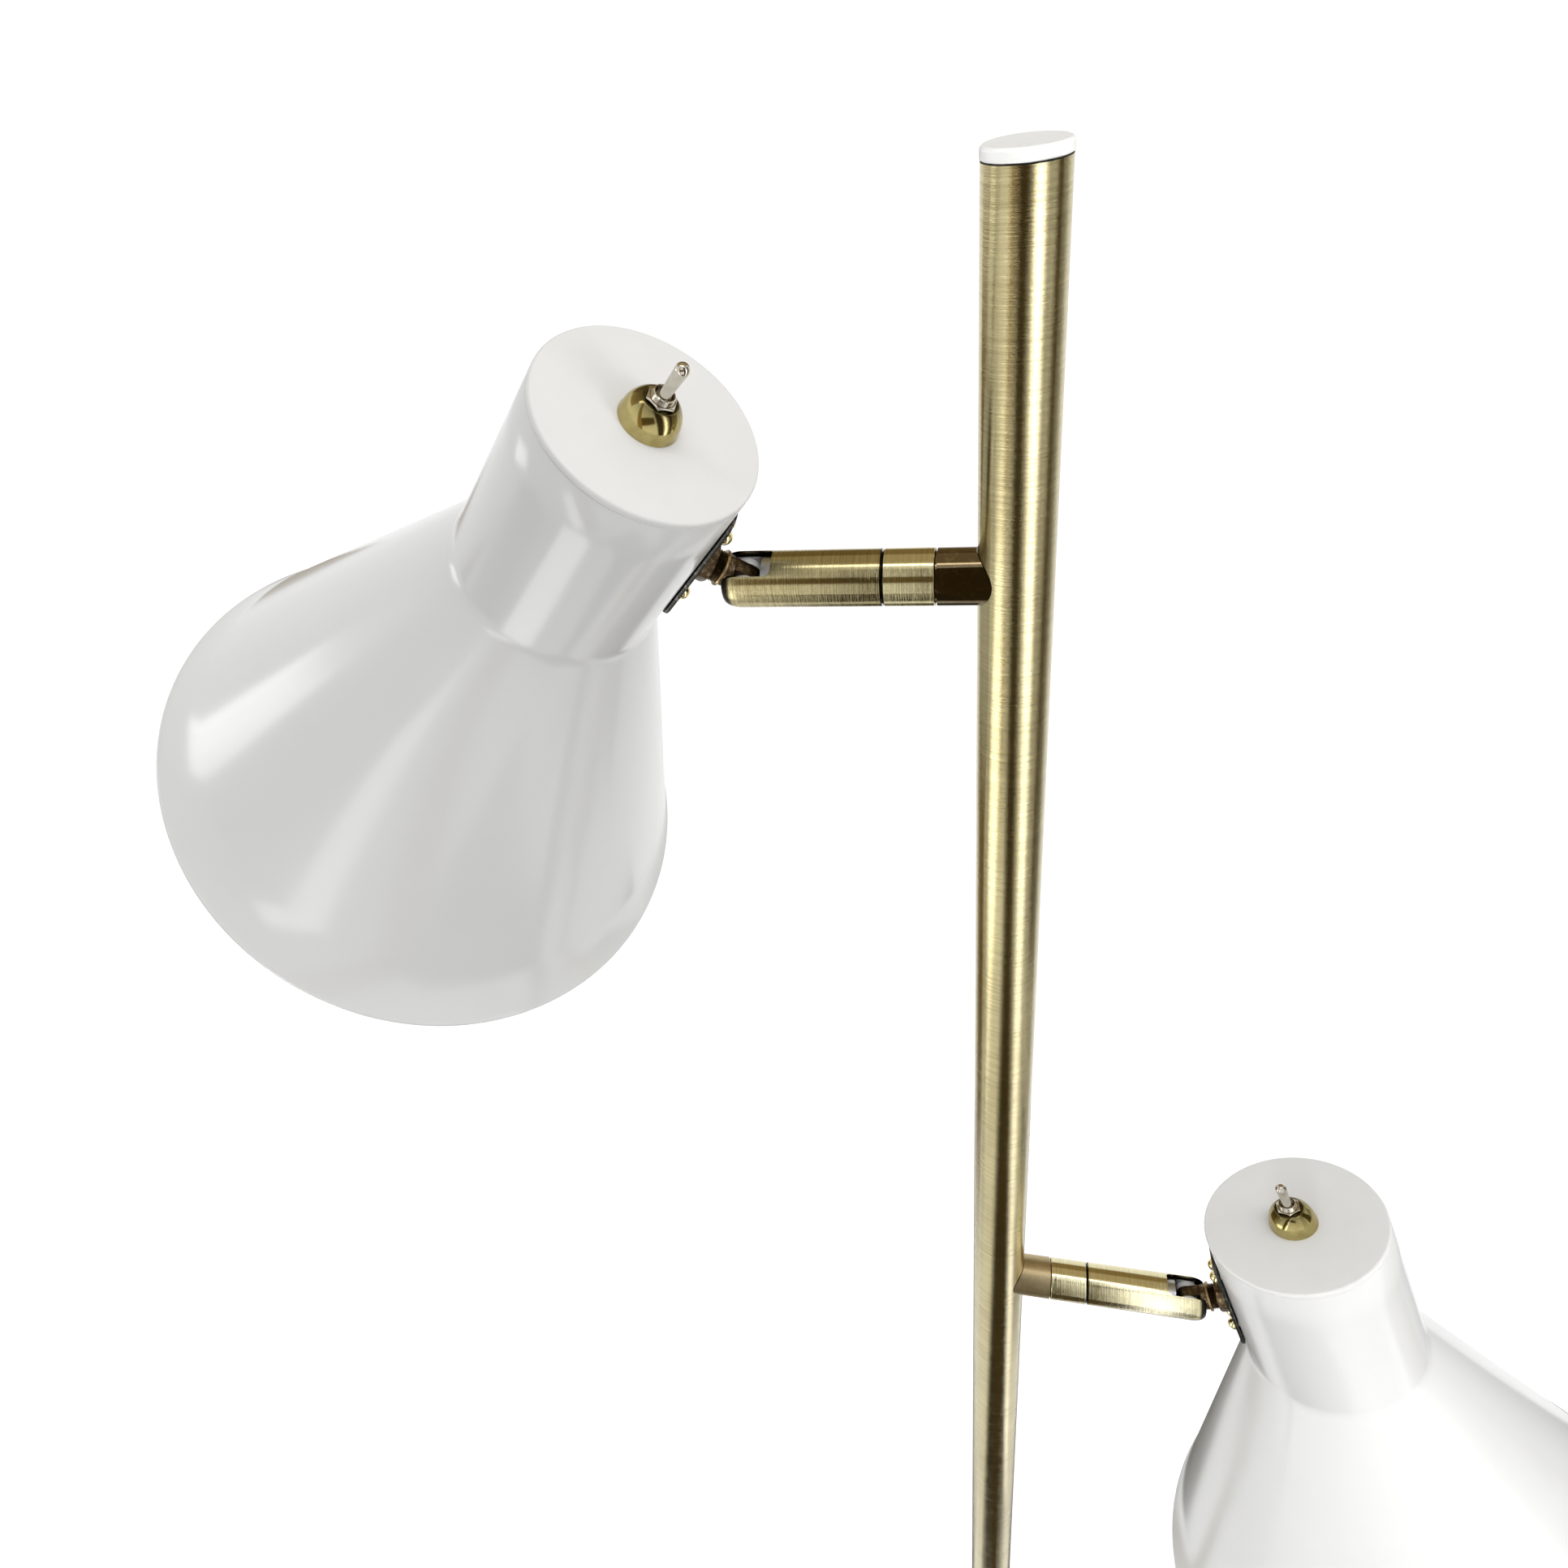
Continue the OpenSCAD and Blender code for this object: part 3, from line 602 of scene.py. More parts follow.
# %% Mix the metals
bronze = pair(worn_bronze, "worn_bronze", head_frame)
# The two stubs are the same bronze. The first is painted dark, as painted shade, and the second pale, as
# painted light, for how the light falls on each.
stub_bronze_shaded_and_lit = {
    1: worn_bronze("stub_bronze_1", arm_frame[1], (0.15, 0.105, 0.043), (0.3, 0.22, 0.1), 0.2, 0.07, 0.005),
    2: worn_bronze("stub_bronze_2", arm_frame[2], (0.48, 0.39, 0.22), (0.58, 0.49, 0.29), 0.12, 0.3, 0.01),
}
stub_bronze_shaded_and_lit[1].set(Coat_Weight=1.0, Coat_Roughness=0.04)
black_steel = pair(worn_bronze, "black_steel", head_frame, (0.055, 0.054, 0.05), (0.3, 0.29, 0.25), 0.4)
bright_brass = pair(polished, "bright_brass", head_frame, (0.86, 0.76, 0.42), (0.74, 0.62, 0.32), 0.14)
worn_brass = pair(worn_bronze, "worn_brass", head_frame, (0.3, 0.21, 0.1), (0.8, 0.68, 0.4), 0.5)
gold = pair(polished, "polished_brass", shade_frame, (0.50, 0.42, 0.18), (0.40, 0.33, 0.13), 0.1)
# Painted reflection: each dome is darkened round its nut, as if it mirrored something dark there, fading
# out towards its edge.
DOME_DARK, DOME_DARK_R, DOME_UNSHADED_R = 0.72, 4.8, 7.4
for n in (1, 2):
    darken_joints_and_shade(gold[n], DOME_DARK, 0, DOME_DARK_R, DOME_UNSHADED_R, gold[n].from_axis())
nickel = pair(polished, "nickel", shade_frame, (0.62, 0.585, 0.51), (0.5, 0.47, 0.4), 0.1)
zinc = plated_steel("zinc_plated_steel")
iron = cast_iron("cast_iron")
print(len(bpy.data.materials), "finishes so far")

# %% [markdown]
# ## White paint, plastics, rubber and glass
#
# The shades are spun aluminium with a white stoved enamel. It is smooth, but a close look shows a
# very shallow ripple like the skin of an orange, which softens the reflections. The lids and the
# cap are moulded and matt, with a fine grain. The rest are small parts in nylon, phenolic and
# rubber, and the opal glass of the bulb. One flat colour would look like a drawing, so each finish
# is mottled from two that are close.


# %% Finish: white enamel
def enamel(name, place):
    finish = Finish(name, place)
    ripple = finish.noise(finish.place, scale=0.22, detail=2, rough=0.4)
    mottle = finish.noise(finish.place, scale=0.03, detail=3)
    dust = finish.ramp(finish.noise(finish.place, scale=2.4, detail=1), 0.74, 0.8)
    white = finish.mix(mottle, (0.80, 0.80, 0.785), (0.83, 0.83, 0.82))
    finish.set(
        Base_Color=finish.mix(finish.ramp(dust, 0, 1, 0, 0.12), white, (0.5, 0.48, 0.45)),
        Roughness=finish.ramp(mottle, 0.3, 0.7, 0.18, 0.23),
        IOR=1.5,
        Coat_Weight=0.25,
        Coat_Roughness=0.12,
    )
    finish.bump(ripple, 0.02, 0.25)
    return finish


# %% Finish: matt mouldings
def moulded(name, place, pale, deep, rough, grain_depth=0.02, grain_scale=2.5):
    finish = Finish(name, place)
    grain = finish.noise(finish.place, scale=grain_scale, detail=3, rough=0.6)
    mottle = finish.noise(finish.place, scale=0.08, detail=3)
    finish.set(
        Base_Color=finish.mix(finish.ramp(mottle, 0.3, 0.7), pale, deep),
        Roughness=finish.ramp(grain, 0.3, 0.7, rough - 0.06, rough + 0.06),
    )
    finish.bump(grain, grain_depth, 0.4)
    return finish


# %% Finish: opal glass
def opal_glass(name, place):
    finish = Finish(name, place)
    bloom = finish.noise(finish.place, scale=0.05, detail=3)
    finish.set(
        Base_Color=finish.mix(finish.ramp(bloom, 0.3, 0.7), (0.88, 0.88, 0.86), (0.84, 0.84, 0.82)),
        Roughness=finish.ramp(bloom, 0.3, 0.7, 0.12, 0.18),
        Subsurface_Weight=0.3,
        Coat_Weight=0.5,
    )
    finish.shader.inputs["Subsurface Radius"].default_value = (0.004, 0.004, 0.004)
    finish.bump(bloom, 0.05, 0.2)
    return finish


# %% Mix the paints, plastics, rubber and glass
white_enamel = pair(enamel, "white_enamel", shade_frame)
matt_white = pair(moulded, "matt_white", shade_frame, (0.86, 0.855, 0.835), (0.84, 0.835, 0.815), 0.5)
# The cap is the same matt white moulding as the lids, painted a little lighter, as painted light.
lit_cap_white = moulded("matt_white_cap", POLE_FRAME, (0.90, 0.90, 0.88), (0.87, 0.87, 0.85), 0.5)
# Painted shade: the cap's lower edge is darkened along a slightly uneven line to draw the thin dark gap
# under it.
GAP_SHADE_TOP = 1625.42
uneven = lit_cap_white.noise(lit_cap_white.place, scale=0.5, detail=2)
shade_edge_height = lit_cap_white.sum(lit_cap_white.along_axis(), uneven, 0.25)
darken_joints_and_shade(lit_cap_white, 1, 0, GAP_SHADE_TOP + 0.1, GAP_SHADE_TOP + 0.16, shade_edge_height)
nylon = moulded("nylon", POLE_FRAME, (0.80, 0.80, 0.79), (0.74, 0.74, 0.73), 0.45)
phenolic = moulded("phenolic", POLE_FRAME, (0.018, 0.018, 0.018), (0.03, 0.028, 0.027), 0.28)
housing = moulded("switch_housing", POLE_FRAME, (0.03, 0.06, 0.15), (0.025, 0.05, 0.12), 0.4)
rubber = moulded("rubber", POLE_FRAME, (0.02, 0.02, 0.02), (0.035, 0.035, 0.034), 0.65)
foam = moulded("foam_pad", POLE_FRAME, (0.05, 0.05, 0.052), (0.03, 0.03, 0.03), 0.9, 0.3, 1.4)
opal = pair(opal_glass, "opal_glass", head_frame)
print(len(bpy.data.materials), "finishes in all")

# %% [markdown]
# ## Parts whose shape is already right
#
# Tubes, washers, plain nuts and the hidden parts keep the mesh of the mechanical model. They could be
# turned again here, but they would look no different, so they only get their finish.

# %% Coat the model's own parts
for name in ("lower_pole", "upper_pole"):
    coat(nodes[name], pole_brass)
for name in ("base_washer", "base_nut", "base_stud", "pole_coupler"):
    coat(nodes[name], zinc)
coat(nodes["base_weight"], iron)
coat(nodes["base_pad"], foam)
coat(nodes["cord_grommet"], rubber)
for n in (1, 2):
    coat(nodes[f"arm_stub_{n}"], stub_bronze_shaded_and_lit[n])
    coat(nodes[f"arm_collar_{n}"], pale_brass[n])
    for kind in ("arm_nipple", "arm_nut", "arm_clevis", "pivot_pin", "holder_bracket"):
        coat(nodes[f"{kind}_{n}"], zinc)
    coat(nodes[f"pivot_washers_{n}"], nylon)
    coat(nodes[f"switch_body_{n}"], housing)
print(len(nodes), "parts in the model")

# %% [markdown]
# ## The spun shades
#
# Each shade is one disc of aluminium, spun over a former into a straight neck that flows into a
# cone. The metal can't turn a sharp corner, so there is a small hollow blend between the two, and
# the mouth is rolled back into a bead that makes it stiff and safe to touch. A single skin could be
# thickened afterwards, but then the bead would need a piece of its own. One closed outline goes down
# the outside, round the bead and up the inside, so the wall has its real thickness everywhere.

# %% Shade sizes and outline
NECK_R, NECK_LENGTH = 31.8, 65.0
MOUTH_R, CONE_LENGTH = 98.3, 137.0
WALL, BLEND_R, BEAD_R = 1.0, 12.0, 1.1
LID_THICK = 2.0
CONE_HALF = math.degrees(math.atan((MOUTH_R - NECK_R) / CONE_LENGTH))


def wall_line(inset, steps):
    """The neck, the blend and the cone as one line, moved inwards by inset."""
    radius, bend = NECK_R - inset, BLEND_R + inset
    bend_z = -NECK_LENGTH + inset * math.tan(math.radians(CONE_HALF / 2))
    run = bend * math.tan(math.radians(CONE_HALF / 2))
    slope = math.tan(math.radians(CONE_HALF))
    end_z = -NECK_LENGTH - CONE_LENGTH + 2 * BEAD_R
    blend = corner((radius + bend, bend_z + run), bend, 180, 180 + CONE_HALF, steps)
    neck = [(radius, -LID_THICK - 0.2 + (blend[0][1] + LID_THICK) * i / 4) for i in range(4)]
    end = (radius + (bend_z - end_z) * slope, end_z)
    cone = [
        (blend[-1][0] + (end[0] - blend[-1][0]) * i / 6, blend[-1][1] + (end[1] - blend[-1][1]) * i / 6)
        for i in range(1, 7)
    ]
    return neck + blend + cone


def shade_outline():
    outside, inside = wall_line(0, 14), wall_line(WALL, 8)
    bead = corner((MOUTH_R - BEAD_R, -NECK_LENGTH - CONE_LENGTH + BEAD_R), BEAD_R, 50, -200, 14)
    lip = [(NECK_R - WALL, -LID_THICK), (NECK_R - 0.2, -LID_THICK)]
    return outside + bead + inside[::-1] + lip + outside[:1]


# %% Spin both shades
for n in (1, 2):
    shade = turned(shade_outline(), sides=192)
    settle(shade, f"spun_shade_{n}", shade_frame[n], smooth_angle=50)
    add_piece(shade, f"head_{n}", white_enamel[n], "white_gloss", f"shade_{n}")

# %% [markdown]
# ## The lids
#
# A matt white disc closes the neck. Its upper edge is well rounded, and a skirt below it pushes
# into the neck. The switch comes up through a hole in its middle. The hole needs no cutting, because
# the outline starts and ends at its edge.

# %% Turn the lids
EDGE_R = 0.9
SWITCH_HOLE_R = 3.22
SKIRT_R, SKIRT_WALL, SKIRT_DEPTH = NECK_R - WALL - 0.05, 1.2, 9
for n in (1, 2):
    top_face = [(SWITCH_HOLE_R, 0), (12, 0), (24, 0)]
    edge = corner((NECK_R - EDGE_R, -EDGE_R), EDGE_R, 90, 0, 8)
    shoulder = [(NECK_R, -LID_THICK + 0.25), (NECK_R - 0.25, -LID_THICK), (SKIRT_R, -LID_THICK)]
    skirt = [
        (SKIRT_R, -SKIRT_DEPTH + 0.4), (SKIRT_R - 0.4, -SKIRT_DEPTH),
        (SKIRT_R - SKIRT_WALL, -SKIRT_DEPTH), (SKIRT_R - SKIRT_WALL, -LID_THICK),
    ]
    under = [(SWITCH_HOLE_R, -LID_THICK), (SWITCH_HOLE_R, 0)]
    lid = turned(top_face + edge + shoulder + skirt + under, sides=160)
    settle(lid, f"lid_{n}", shade_frame[n])
    add_piece(lid, f"head_{n}", matt_white[n], "white_matt", f"shade_lid_{n}")

# %% [markdown]
# ## The switch on each lid
#
# A pressed brass dome covers the hole in the lid. Through it comes the threaded barrel of a
# miniature toggle switch, held by a small six-sided nut. The lever is shaped like a bat: thin at
# the ball it turns on, and thicker towards its round tip. The thread's ridges are under half a
# millimetre apart, so they are plain rings on the outline: a true helix would look the same.

# %% Dome, nut and barrel
DOME_R, DOME_TOP, DOME_EDGE, DOME_SKIN, DOME_FOOT, NUT_SEAT_R = 8.2, 6.9, 7.7, 0.8, 1.1, 4.5
DOME_NUT_FLATS, DOME_NUT_HIGH = 7.6, 1.7
BARREL_R, BARREL_BORE, BARREL_TOP = 3.17, 2.4, 10.2
THREAD_START, THREAD_STEP, THREAD_DEPTH = DOME_TOP + 1.65, 0.19, 0.28
for n in (1, 2):
    outer_end = math.degrees(math.asin((DOME_EDGE - DOME_FOOT) / DOME_R))
    inner_end = math.degrees(math.asin((DOME_TOP - DOME_FOOT - DOME_SKIN) / (DOME_R - DOME_SKIN)))
    lip = [(DOME_R + 0.1, 0), (DOME_R + 0.25, 0.15), (DOME_R + 0.2, 0.4)]
    outer = corner((0, DOME_FOOT), DOME_R, 0, outer_end, 24)
    seat = [(NUT_SEAT_R + 0.15, DOME_EDGE), (NUT_SEAT_R, DOME_EDGE - 0.15), (NUT_SEAT_R, DOME_TOP)]
    hole = [(SWITCH_HOLE_R, DOME_TOP), (SWITCH_HOLE_R, DOME_TOP - DOME_SKIN)]
    inner = corner((0, DOME_FOOT), DOME_R - DOME_SKIN, inner_end, 0, 12)
    foot = [(DOME_R - DOME_SKIN, 0), (DOME_R + 0.1, 0)]
    dome = turned(lip + outer + seat + hole + inner + foot)
    settle(dome, f"dome_{n}", shade_frame[n], smooth_angle=40)
    add_piece(dome, f"head_{n}", gold[n], "polished_brass", f"switch_dome_{n}")

    nut = hex_nut(DOME_NUT_FLATS, BARREL_R + 0.02, DOME_TOP, DOME_TOP + DOME_NUT_HIGH, chamfer=0.35)
    soften(nut, 0.06)
    settle(nut, f"dome_nut_{n}", shade_frame[n])
    add_piece(nut, f"head_{n}", nickel[n], "nickel", f"switch_nut_{n}")

    threads = [
        (BARREL_R - (THREAD_DEPTH if k % 2 else 0), THREAD_START + THREAD_STEP * k) for k in range(8)
    ]
    rim = [
        (BARREL_R - 0.35, BARREL_TOP), (BARREL_BORE + 0.2, BARREL_TOP),
        (BARREL_BORE, BARREL_TOP - 0.4), (BARREL_BORE, -LID_THICK),
    ]
    barrel = turned([(BARREL_BORE, -LID_THICK), (BARREL_R, -LID_THICK)] + threads + rim, sides=64)
    settle(barrel, f"barrel_{n}", shade_frame[n])
    add_piece(barrel, f"head_{n}", nickel[n], "nickel", f"switch_bushing_{n}")

# %% Lever
LEVER_LEAN = {1: 14, 2: -14}
LEVER_LENGTH, BALL_R, TAIL_R, WAIST_R, TIP_R = 16.7, 2.1, 0.9, 1.35, 1.95
TAIL_END, TAIL_EDGE = -5, 0.3
for n in (1, 2):
    ball_low = -math.degrees(math.acos(TAIL_R / BALL_R))
    ball_high = math.degrees(math.acos(WAIST_R / BALL_R))
    outline = (
        [(0, TAIL_END), (TAIL_R - TAIL_EDGE, TAIL_END), (TAIL_R, TAIL_END + TAIL_EDGE)]
        + corner((0, 0), BALL_R, ball_low, ball_high, 16)
        + corner((0, LEVER_LENGTH - TIP_R), TIP_R, -8, 84, 12)
        + [(0, LEVER_LENGTH)]
    )
    lever = turned(outline, sides=48)
    lean = Matrix.Translation((0, 0, LEVER_PIVOT_HEIGHT * MM)) @ Matrix.Rotation(
        math.radians(-LEVER_LEAN[n]), 4, "X"
    )
    settle(lever, f"lever_{n}", shade_frame[n] @ lean, smooth_angle=50)
    add_piece(lever, f"lever_{n}", nickel[n], "nickel", f"toggle_lever_{n}")

# %% [markdown]
# ## The lampholders and bulbs
#
# Inside the neck a black phenolic lampholder hangs from a steel bracket. It takes a small globe
# bulb with a screw cap. They only show from below, but they make the lamp complete. The screw cap's
# rolled thread is a wave on its outline. The glass is turned as one skin, and a Solidify modifier
# makes it a wall of even thickness, which would be hard to draw where the neck flows into the globe.

# %% Lampholders
STEM_REACH, SHELF_Z, HOLDER_R, HOLDER_LENGTH = 47.2, 17.5, 17.0, 40.0
HOLDER_LOW, BODY_R, HOLDER_BORE = SHELF_Z - HOLDER_LENGTH, HOLDER_R - 1, HOLDER_R - 3.4
GROOVE_SPACING, GROOVE_R = 2.2, BODY_R - 0.5
hang = {n: head_frame[n] @ Matrix.Translation((STEM_REACH * MM, 0, 0)) for n in (1, 2)}
for n in (1, 2):
    shoulder = corner((HOLDER_R - 5, SHELF_Z - 1), 1, 90, 0, 5)
    shoulder += [(HOLDER_R - 4, SHELF_Z - 9), (BODY_R, SHELF_Z - 11)]
    grooves = []
    for k in range(4):
        z = SHELF_Z - 14 - GROOVE_SPACING * k
        grooves += [(BODY_R, z), (GROOVE_R, z - 0.4), (GROOVE_R, z - 1.0), (BODY_R, z - 1.4)]
    band = [
        (BODY_R, SHELF_Z - 25), (HOLDER_R, SHELF_Z - 25.5), (HOLDER_R, SHELF_Z - 28),
        (BODY_R, SHELF_Z - 28.5),
    ]
    rim = [
        (BODY_R, HOLDER_LOW + 3), (HOLDER_R, HOLDER_LOW + 2), (HOLDER_R, HOLDER_LOW + 0.4),
        (HOLDER_R - 0.4, HOLDER_LOW), (HOLDER_BORE, HOLDER_LOW),
    ]
    inside = [(HOLDER_BORE, SHELF_Z - 13), (0, SHELF_Z - 13)]
    holder = turned([(0, SHELF_Z)] + shoulder + grooves + band + rim + inside)
    settle(holder, f"holder_{n}", hang[n])
    add_piece(holder, f"head_{n}", phenolic, "phenolic", f"lampholder_{n}")

# %% Screw caps
CAP_R, CAP_TOP = 13.1, SHELF_Z - 14
CAP_THREAD_PITCH, CAP_THREAD_HALF, CAP_THREAD_TURNS, TURN_STEPS = 3.2, 0.45, 6, 8
for n in (1, 2):
    contact = [(0, CAP_TOP), (4, CAP_TOP), (4, CAP_TOP - 2), (CAP_R - 4, CAP_TOP - 3.5)]
    wave = []
    for k in range(CAP_THREAD_TURNS * TURN_STEPS):
        angle = 2 * math.pi * k / TURN_STEPS
        wave_r = CAP_R - CAP_THREAD_HALF - CAP_THREAD_HALF * math.cos(angle)
        wave.append((wave_r, CAP_TOP - 5 - CAP_THREAD_PITCH * k / TURN_STEPS))
    inside = [
        (CAP_R, HOLDER_LOW - 2), (CAP_R - 0.9, HOLDER_LOW - 2), (CAP_R - 1.8, CAP_TOP - 6),
        (0, CAP_TOP - 5),
    ]
    cap = turned(contact + wave + inside, sides=72)
    settle(cap, f"screw_cap_{n}", hang[n], smooth_angle=60)
    add_piece(cap, f"head_{n}", nickel[n], "nickel", f"bulb_cap_{n}")

# %% Bulbs
BULB_R, BULB_NECK_R, BULB_CENTRE_Z, GLASS = 30.0, CAP_R - 0.4, HOLDER_LOW - 60, 0.8
for n in (1, 2):
    globe = corner((0, BULB_CENTRE_Z), BULB_R, 38, -88, 40)
    start, pull = (BULB_NECK_R, HOLDER_LOW - 2.01), (BULB_NECK_R + 1.5, HOLDER_LOW - 18)
    flow = []
    for k in range(1, 10):
        t = k / 10
        a, b, c = (1 - t) ** 2, 2 * t * (1 - t), t * t
        flow.append(tuple(a * start[i] + b * pull[i] + c * globe[0][i] for i in (0, 1)))
    glass = turned([start] + flow + globe + [(0, BULB_CENTRE_Z - BULB_R)], sides=96)
    apply_modifier(glass, "SOLIDIFY", thickness=GLASS * MM, offset=-1)
    settle(glass, f"bulb_{n}", hang[n], smooth_angle=60)
    add_piece(glass, f"head_{n}", opal[n], "opal_glass", f"bulb_glass_{n}")

# %% [markdown]
# ## The arm sleeves
#
# The sleeve is a drawn tube with a rounded end. A slot is milled into its outer end, so that the
# knuckle can tilt up. The tube is turned first, the slot is cut with a block whose inner corners are
# rounded like the milling cutter, and all edges are broken slightly. Moving the tube's own points
# could only make a ragged slot, so a Boolean modifier cuts it, as the real cutter did.

# %% Turn and slot the sleeves
ARM_R, STUD_R = 8.0, 4.95
SLEEVE_START, SLEEVE_BORE, SLEEVE_BACK, SLEEVE_LIP = 35.1, 6.3, 5.9, 1.2
SLOT_HALF, SLOT_DEPTH, SLOT_CORNER = 5.0, 14.4, 2.2
ROUND_LENGTH, LIP_R = 5.2, SLOT_HALF + 0.5
slot_floor = SLEEVE_END - SLOT_DEPTH


def in_slot_floor(a, b):
    """True for the two upright edges at the inner end of the slot."""
    return abs(a.x - slot_floor) < 0.01 and abs(b.x - slot_floor) < 0.01 and abs(a.z - b.z) > 1


for n in (1, 2):
    rounded = []
    for degrees in range(0, 91, 6):
        a = math.radians(degrees)
        end_r = LIP_R + (ARM_R - LIP_R) * math.cos(a)
        rounded.append((end_r, SLEEVE_END - ROUND_LENGTH * (1 - math.sin(a))))
    back, lip_z = SLEEVE_START + SLEEVE_BACK, SLEEVE_END - SLEEVE_LIP
    inside = [
        (SLOT_HALF, SLEEVE_END), (SLOT_HALF, lip_z), (SLEEVE_BORE, lip_z), (SLEEVE_BORE, back),
        (STUD_R, back), (STUD_R, SLEEVE_START),
    ]
    sleeve = turned([(STUD_R, SLEEVE_START), (ARM_R, SLEEVE_START)] + rounded + inside)
    sleeve.matrix_world = ALONG_X @ sleeve.matrix_world
    pick(sleeve)
    bpy.ops.object.transform_apply(location=True, rotation=True, scale=True)
    slot = block((slot_floor, -SLOT_HALF, 0), (SLEEVE_END + 4, SLOT_HALF, 2 * ARM_R))
    round_edges(slot, in_slot_floor, SLOT_CORNER, 8)
    combine(sleeve, slot, "DIFFERENCE")
    clean(sleeve)
    soften(sleeve, 0.22, segments=3)
    settle(sleeve, f"sleeve_{n}", arm_frame[n])
    add_piece(sleeve, f"arm_{n}", arm_brass[n], "antique_brass", f"arm_sleeve_{n}")

# %% [markdown]
# ## The knuckles
#
# The knuckle is a machined piece: a flat tongue with a round end, which turns on the pivot pin, and
# a round stem with a few ridges and a thread. A golden washer and a bronze nut sit on the stem, and
# press a thin plate against the neck. Four round-head screws hold the plate. The tongue starts as a
# block and the stem is turned, and a union joins them, as the real knuckle is one piece of metal.

# %% Knuckle, washer and nuts
TONGUE_HALF, TONGUE_R, STEM_R, THREAD_R = 2.3, 4.1, 4.7, 4.3
STEM_START, RING_X, RING_R, NUT_X, STEM_END = 5.0, 7.4, 5.4, 10.9, 22.5
NUT_FLATS, NUT_BORE = 11, THREAD_R + 0.02
PLATE_THICK, PLATE_UP, PLATE_HALF = 1.2, 22.6, 7.0
PLATE_X = STEM_REACH - NECK_R - PLATE_THICK
BRACKET_FACE, BRACKET_THICK = 17.3, 1.2
BRACKET_X = BRACKET_FACE + BRACKET_THICK
RIDGES, RIDGE_START, RIDGE_STEP = 7, RING_X + 0.9, 0.4


def at_tongue_end(a, b):
    """True for the two level edges at the end of the tongue."""
    return max(a.x, b.x) < -TONGUE_R + 0.01 and abs(a.y - b.y) > 1


for n in (1, 2):
    tongue = block((-TONGUE_R, -TONGUE_HALF, -TONGUE_R), (STEM_START + 1, TONGUE_HALF, TONGUE_R))
    round_edges(tongue, at_tongue_end, TONGUE_R - 0.01, 16)
    soften(tongue, 0.25)
    ridges = [(THREAD_R if k % 2 else STEM_R, RIDGE_START + RIDGE_STEP * k) for k in range(RIDGES)]
    root = [(0, STEM_START), (STEM_R - 0.3, STEM_START), (STEM_R, STEM_START + 0.3)]
    tip = [(THREAD_R, NUT_X + 1), (THREAD_R, STEM_END - 0.4), (THREAD_R - 0.4, STEM_END), (0, STEM_END)]
    stem = turned(root + ridges + tip, sides=64)
    stem.matrix_world = ALONG_X @ stem.matrix_world
    combine(tongue, stem, "UNION")
    clean(tongue)
    settle(tongue, f"knuckle_block_{n}", head_frame[n])
    add_piece(tongue, f"head_{n}", bronze[n], "bronze", f"knuckle_{n}")

    lower_edge = corner((RING_R - 0.3, RING_X + 0.3), 0.3, -90, 0, 4)
    upper_edge = corner((RING_R - 0.3, RING_X + 0.7), 0.3, 0, 90, 4)
    ring = turned(
        [(NUT_BORE, RING_X)] + lower_edge + upper_edge + [(NUT_BORE, RING_X + 1), (NUT_BORE, RING_X)],
        sides=64,
    )
    settle(ring, f"stem_washer_{n}", head_frame[n] @ ALONG_X)
    add_piece(ring, f"head_{n}", worn_brass[n], "polished_brass", f"knuckle_ring_{n}")

    nut = hex_nut(NUT_FLATS, NUT_BORE, NUT_X, PLATE_X)
    inner_nut = hex_nut(NUT_FLATS, NUT_BORE, BRACKET_X, BRACKET_X + 3)
    nut = join([nut, inner_nut])
    soften(nut, 0.08)
    settle(nut, f"stem_nuts_{n}", head_frame[n] @ ALONG_X)
    add_piece(nut, f"head_{n}", bronze[n], "bronze", f"knuckle_nuts_{n}")

# %% Plate and screws
SCREW_Y, SCREW_Z, HEAD_R, HEAD_H, SHANK_R = 2.8, (14.0, -12.5), 2.5, 2.8, 1.25
RECESS_HALF, RECESS_LONG, RECESS_DEPTH = 0.3, 1.3, 0.7
for n in (1, 2):
    plate = block((PLATE_X, -PLATE_HALF, -PLATE_UP), (PLATE_X + PLATE_THICK, PLATE_HALF, PLATE_UP))
    round_edges(plate, lambda a, b: abs(a.x - b.x) > 0.5, 5, 10)
    soften(plate, 0.18)
    settle(plate, f"plate_{n}", head_frame[n])
    add_piece(plate, f"head_{n}", black_steel[n], "bronze", f"mount_plate_{n}")

    round_head = []
    for degrees in range(8, 91, 8):
        a = math.radians(degrees)
        round_head.append((HEAD_R * math.sin(a), PLATE_X - HEAD_H * math.cos(a)))
    shank_end = BRACKET_X + 1.5
    shank = [
        (HEAD_R, PLATE_X), (SHANK_R, PLATE_X), (SHANK_R, BRACKET_X + 1.2), (SHANK_R - 0.3, shank_end),
        (0, shank_end),
    ]
    first = turned([(0, PLATE_X - HEAD_H)] + round_head + shank, sides=40)
    recess_top, recess_floor = PLATE_X - 3, PLATE_X - HEAD_H + RECESS_DEPTH
    for half_x, half_y in ((RECESS_HALF, RECESS_LONG), (RECESS_LONG, RECESS_HALF)):
        bar = block((-half_x, -half_y, recess_top), (half_x, half_y, recess_floor))
        combine(first, bar, "DIFFERENCE")
    clean(first)
    soften(first, 0.06)
    screws = []
    for y in (-SCREW_Y, SCREW_Y):
        for z in SCREW_Z:
            screw = first.copy()
            screw.data = first.data.copy()
            bpy.context.scene.collection.objects.link(screw)
            screw.matrix_world = Matrix.Translation(Vector((0, y, z)) * MM) @ ALONG_X
            screws.append(screw)
    bpy.data.objects.remove(first)
    four = join(screws)
    settle(four, f"screws_{n}", head_frame[n])
    add_piece(four, f"head_{n}", bright_brass[n], "polished_brass", f"plate_screws_{n}")
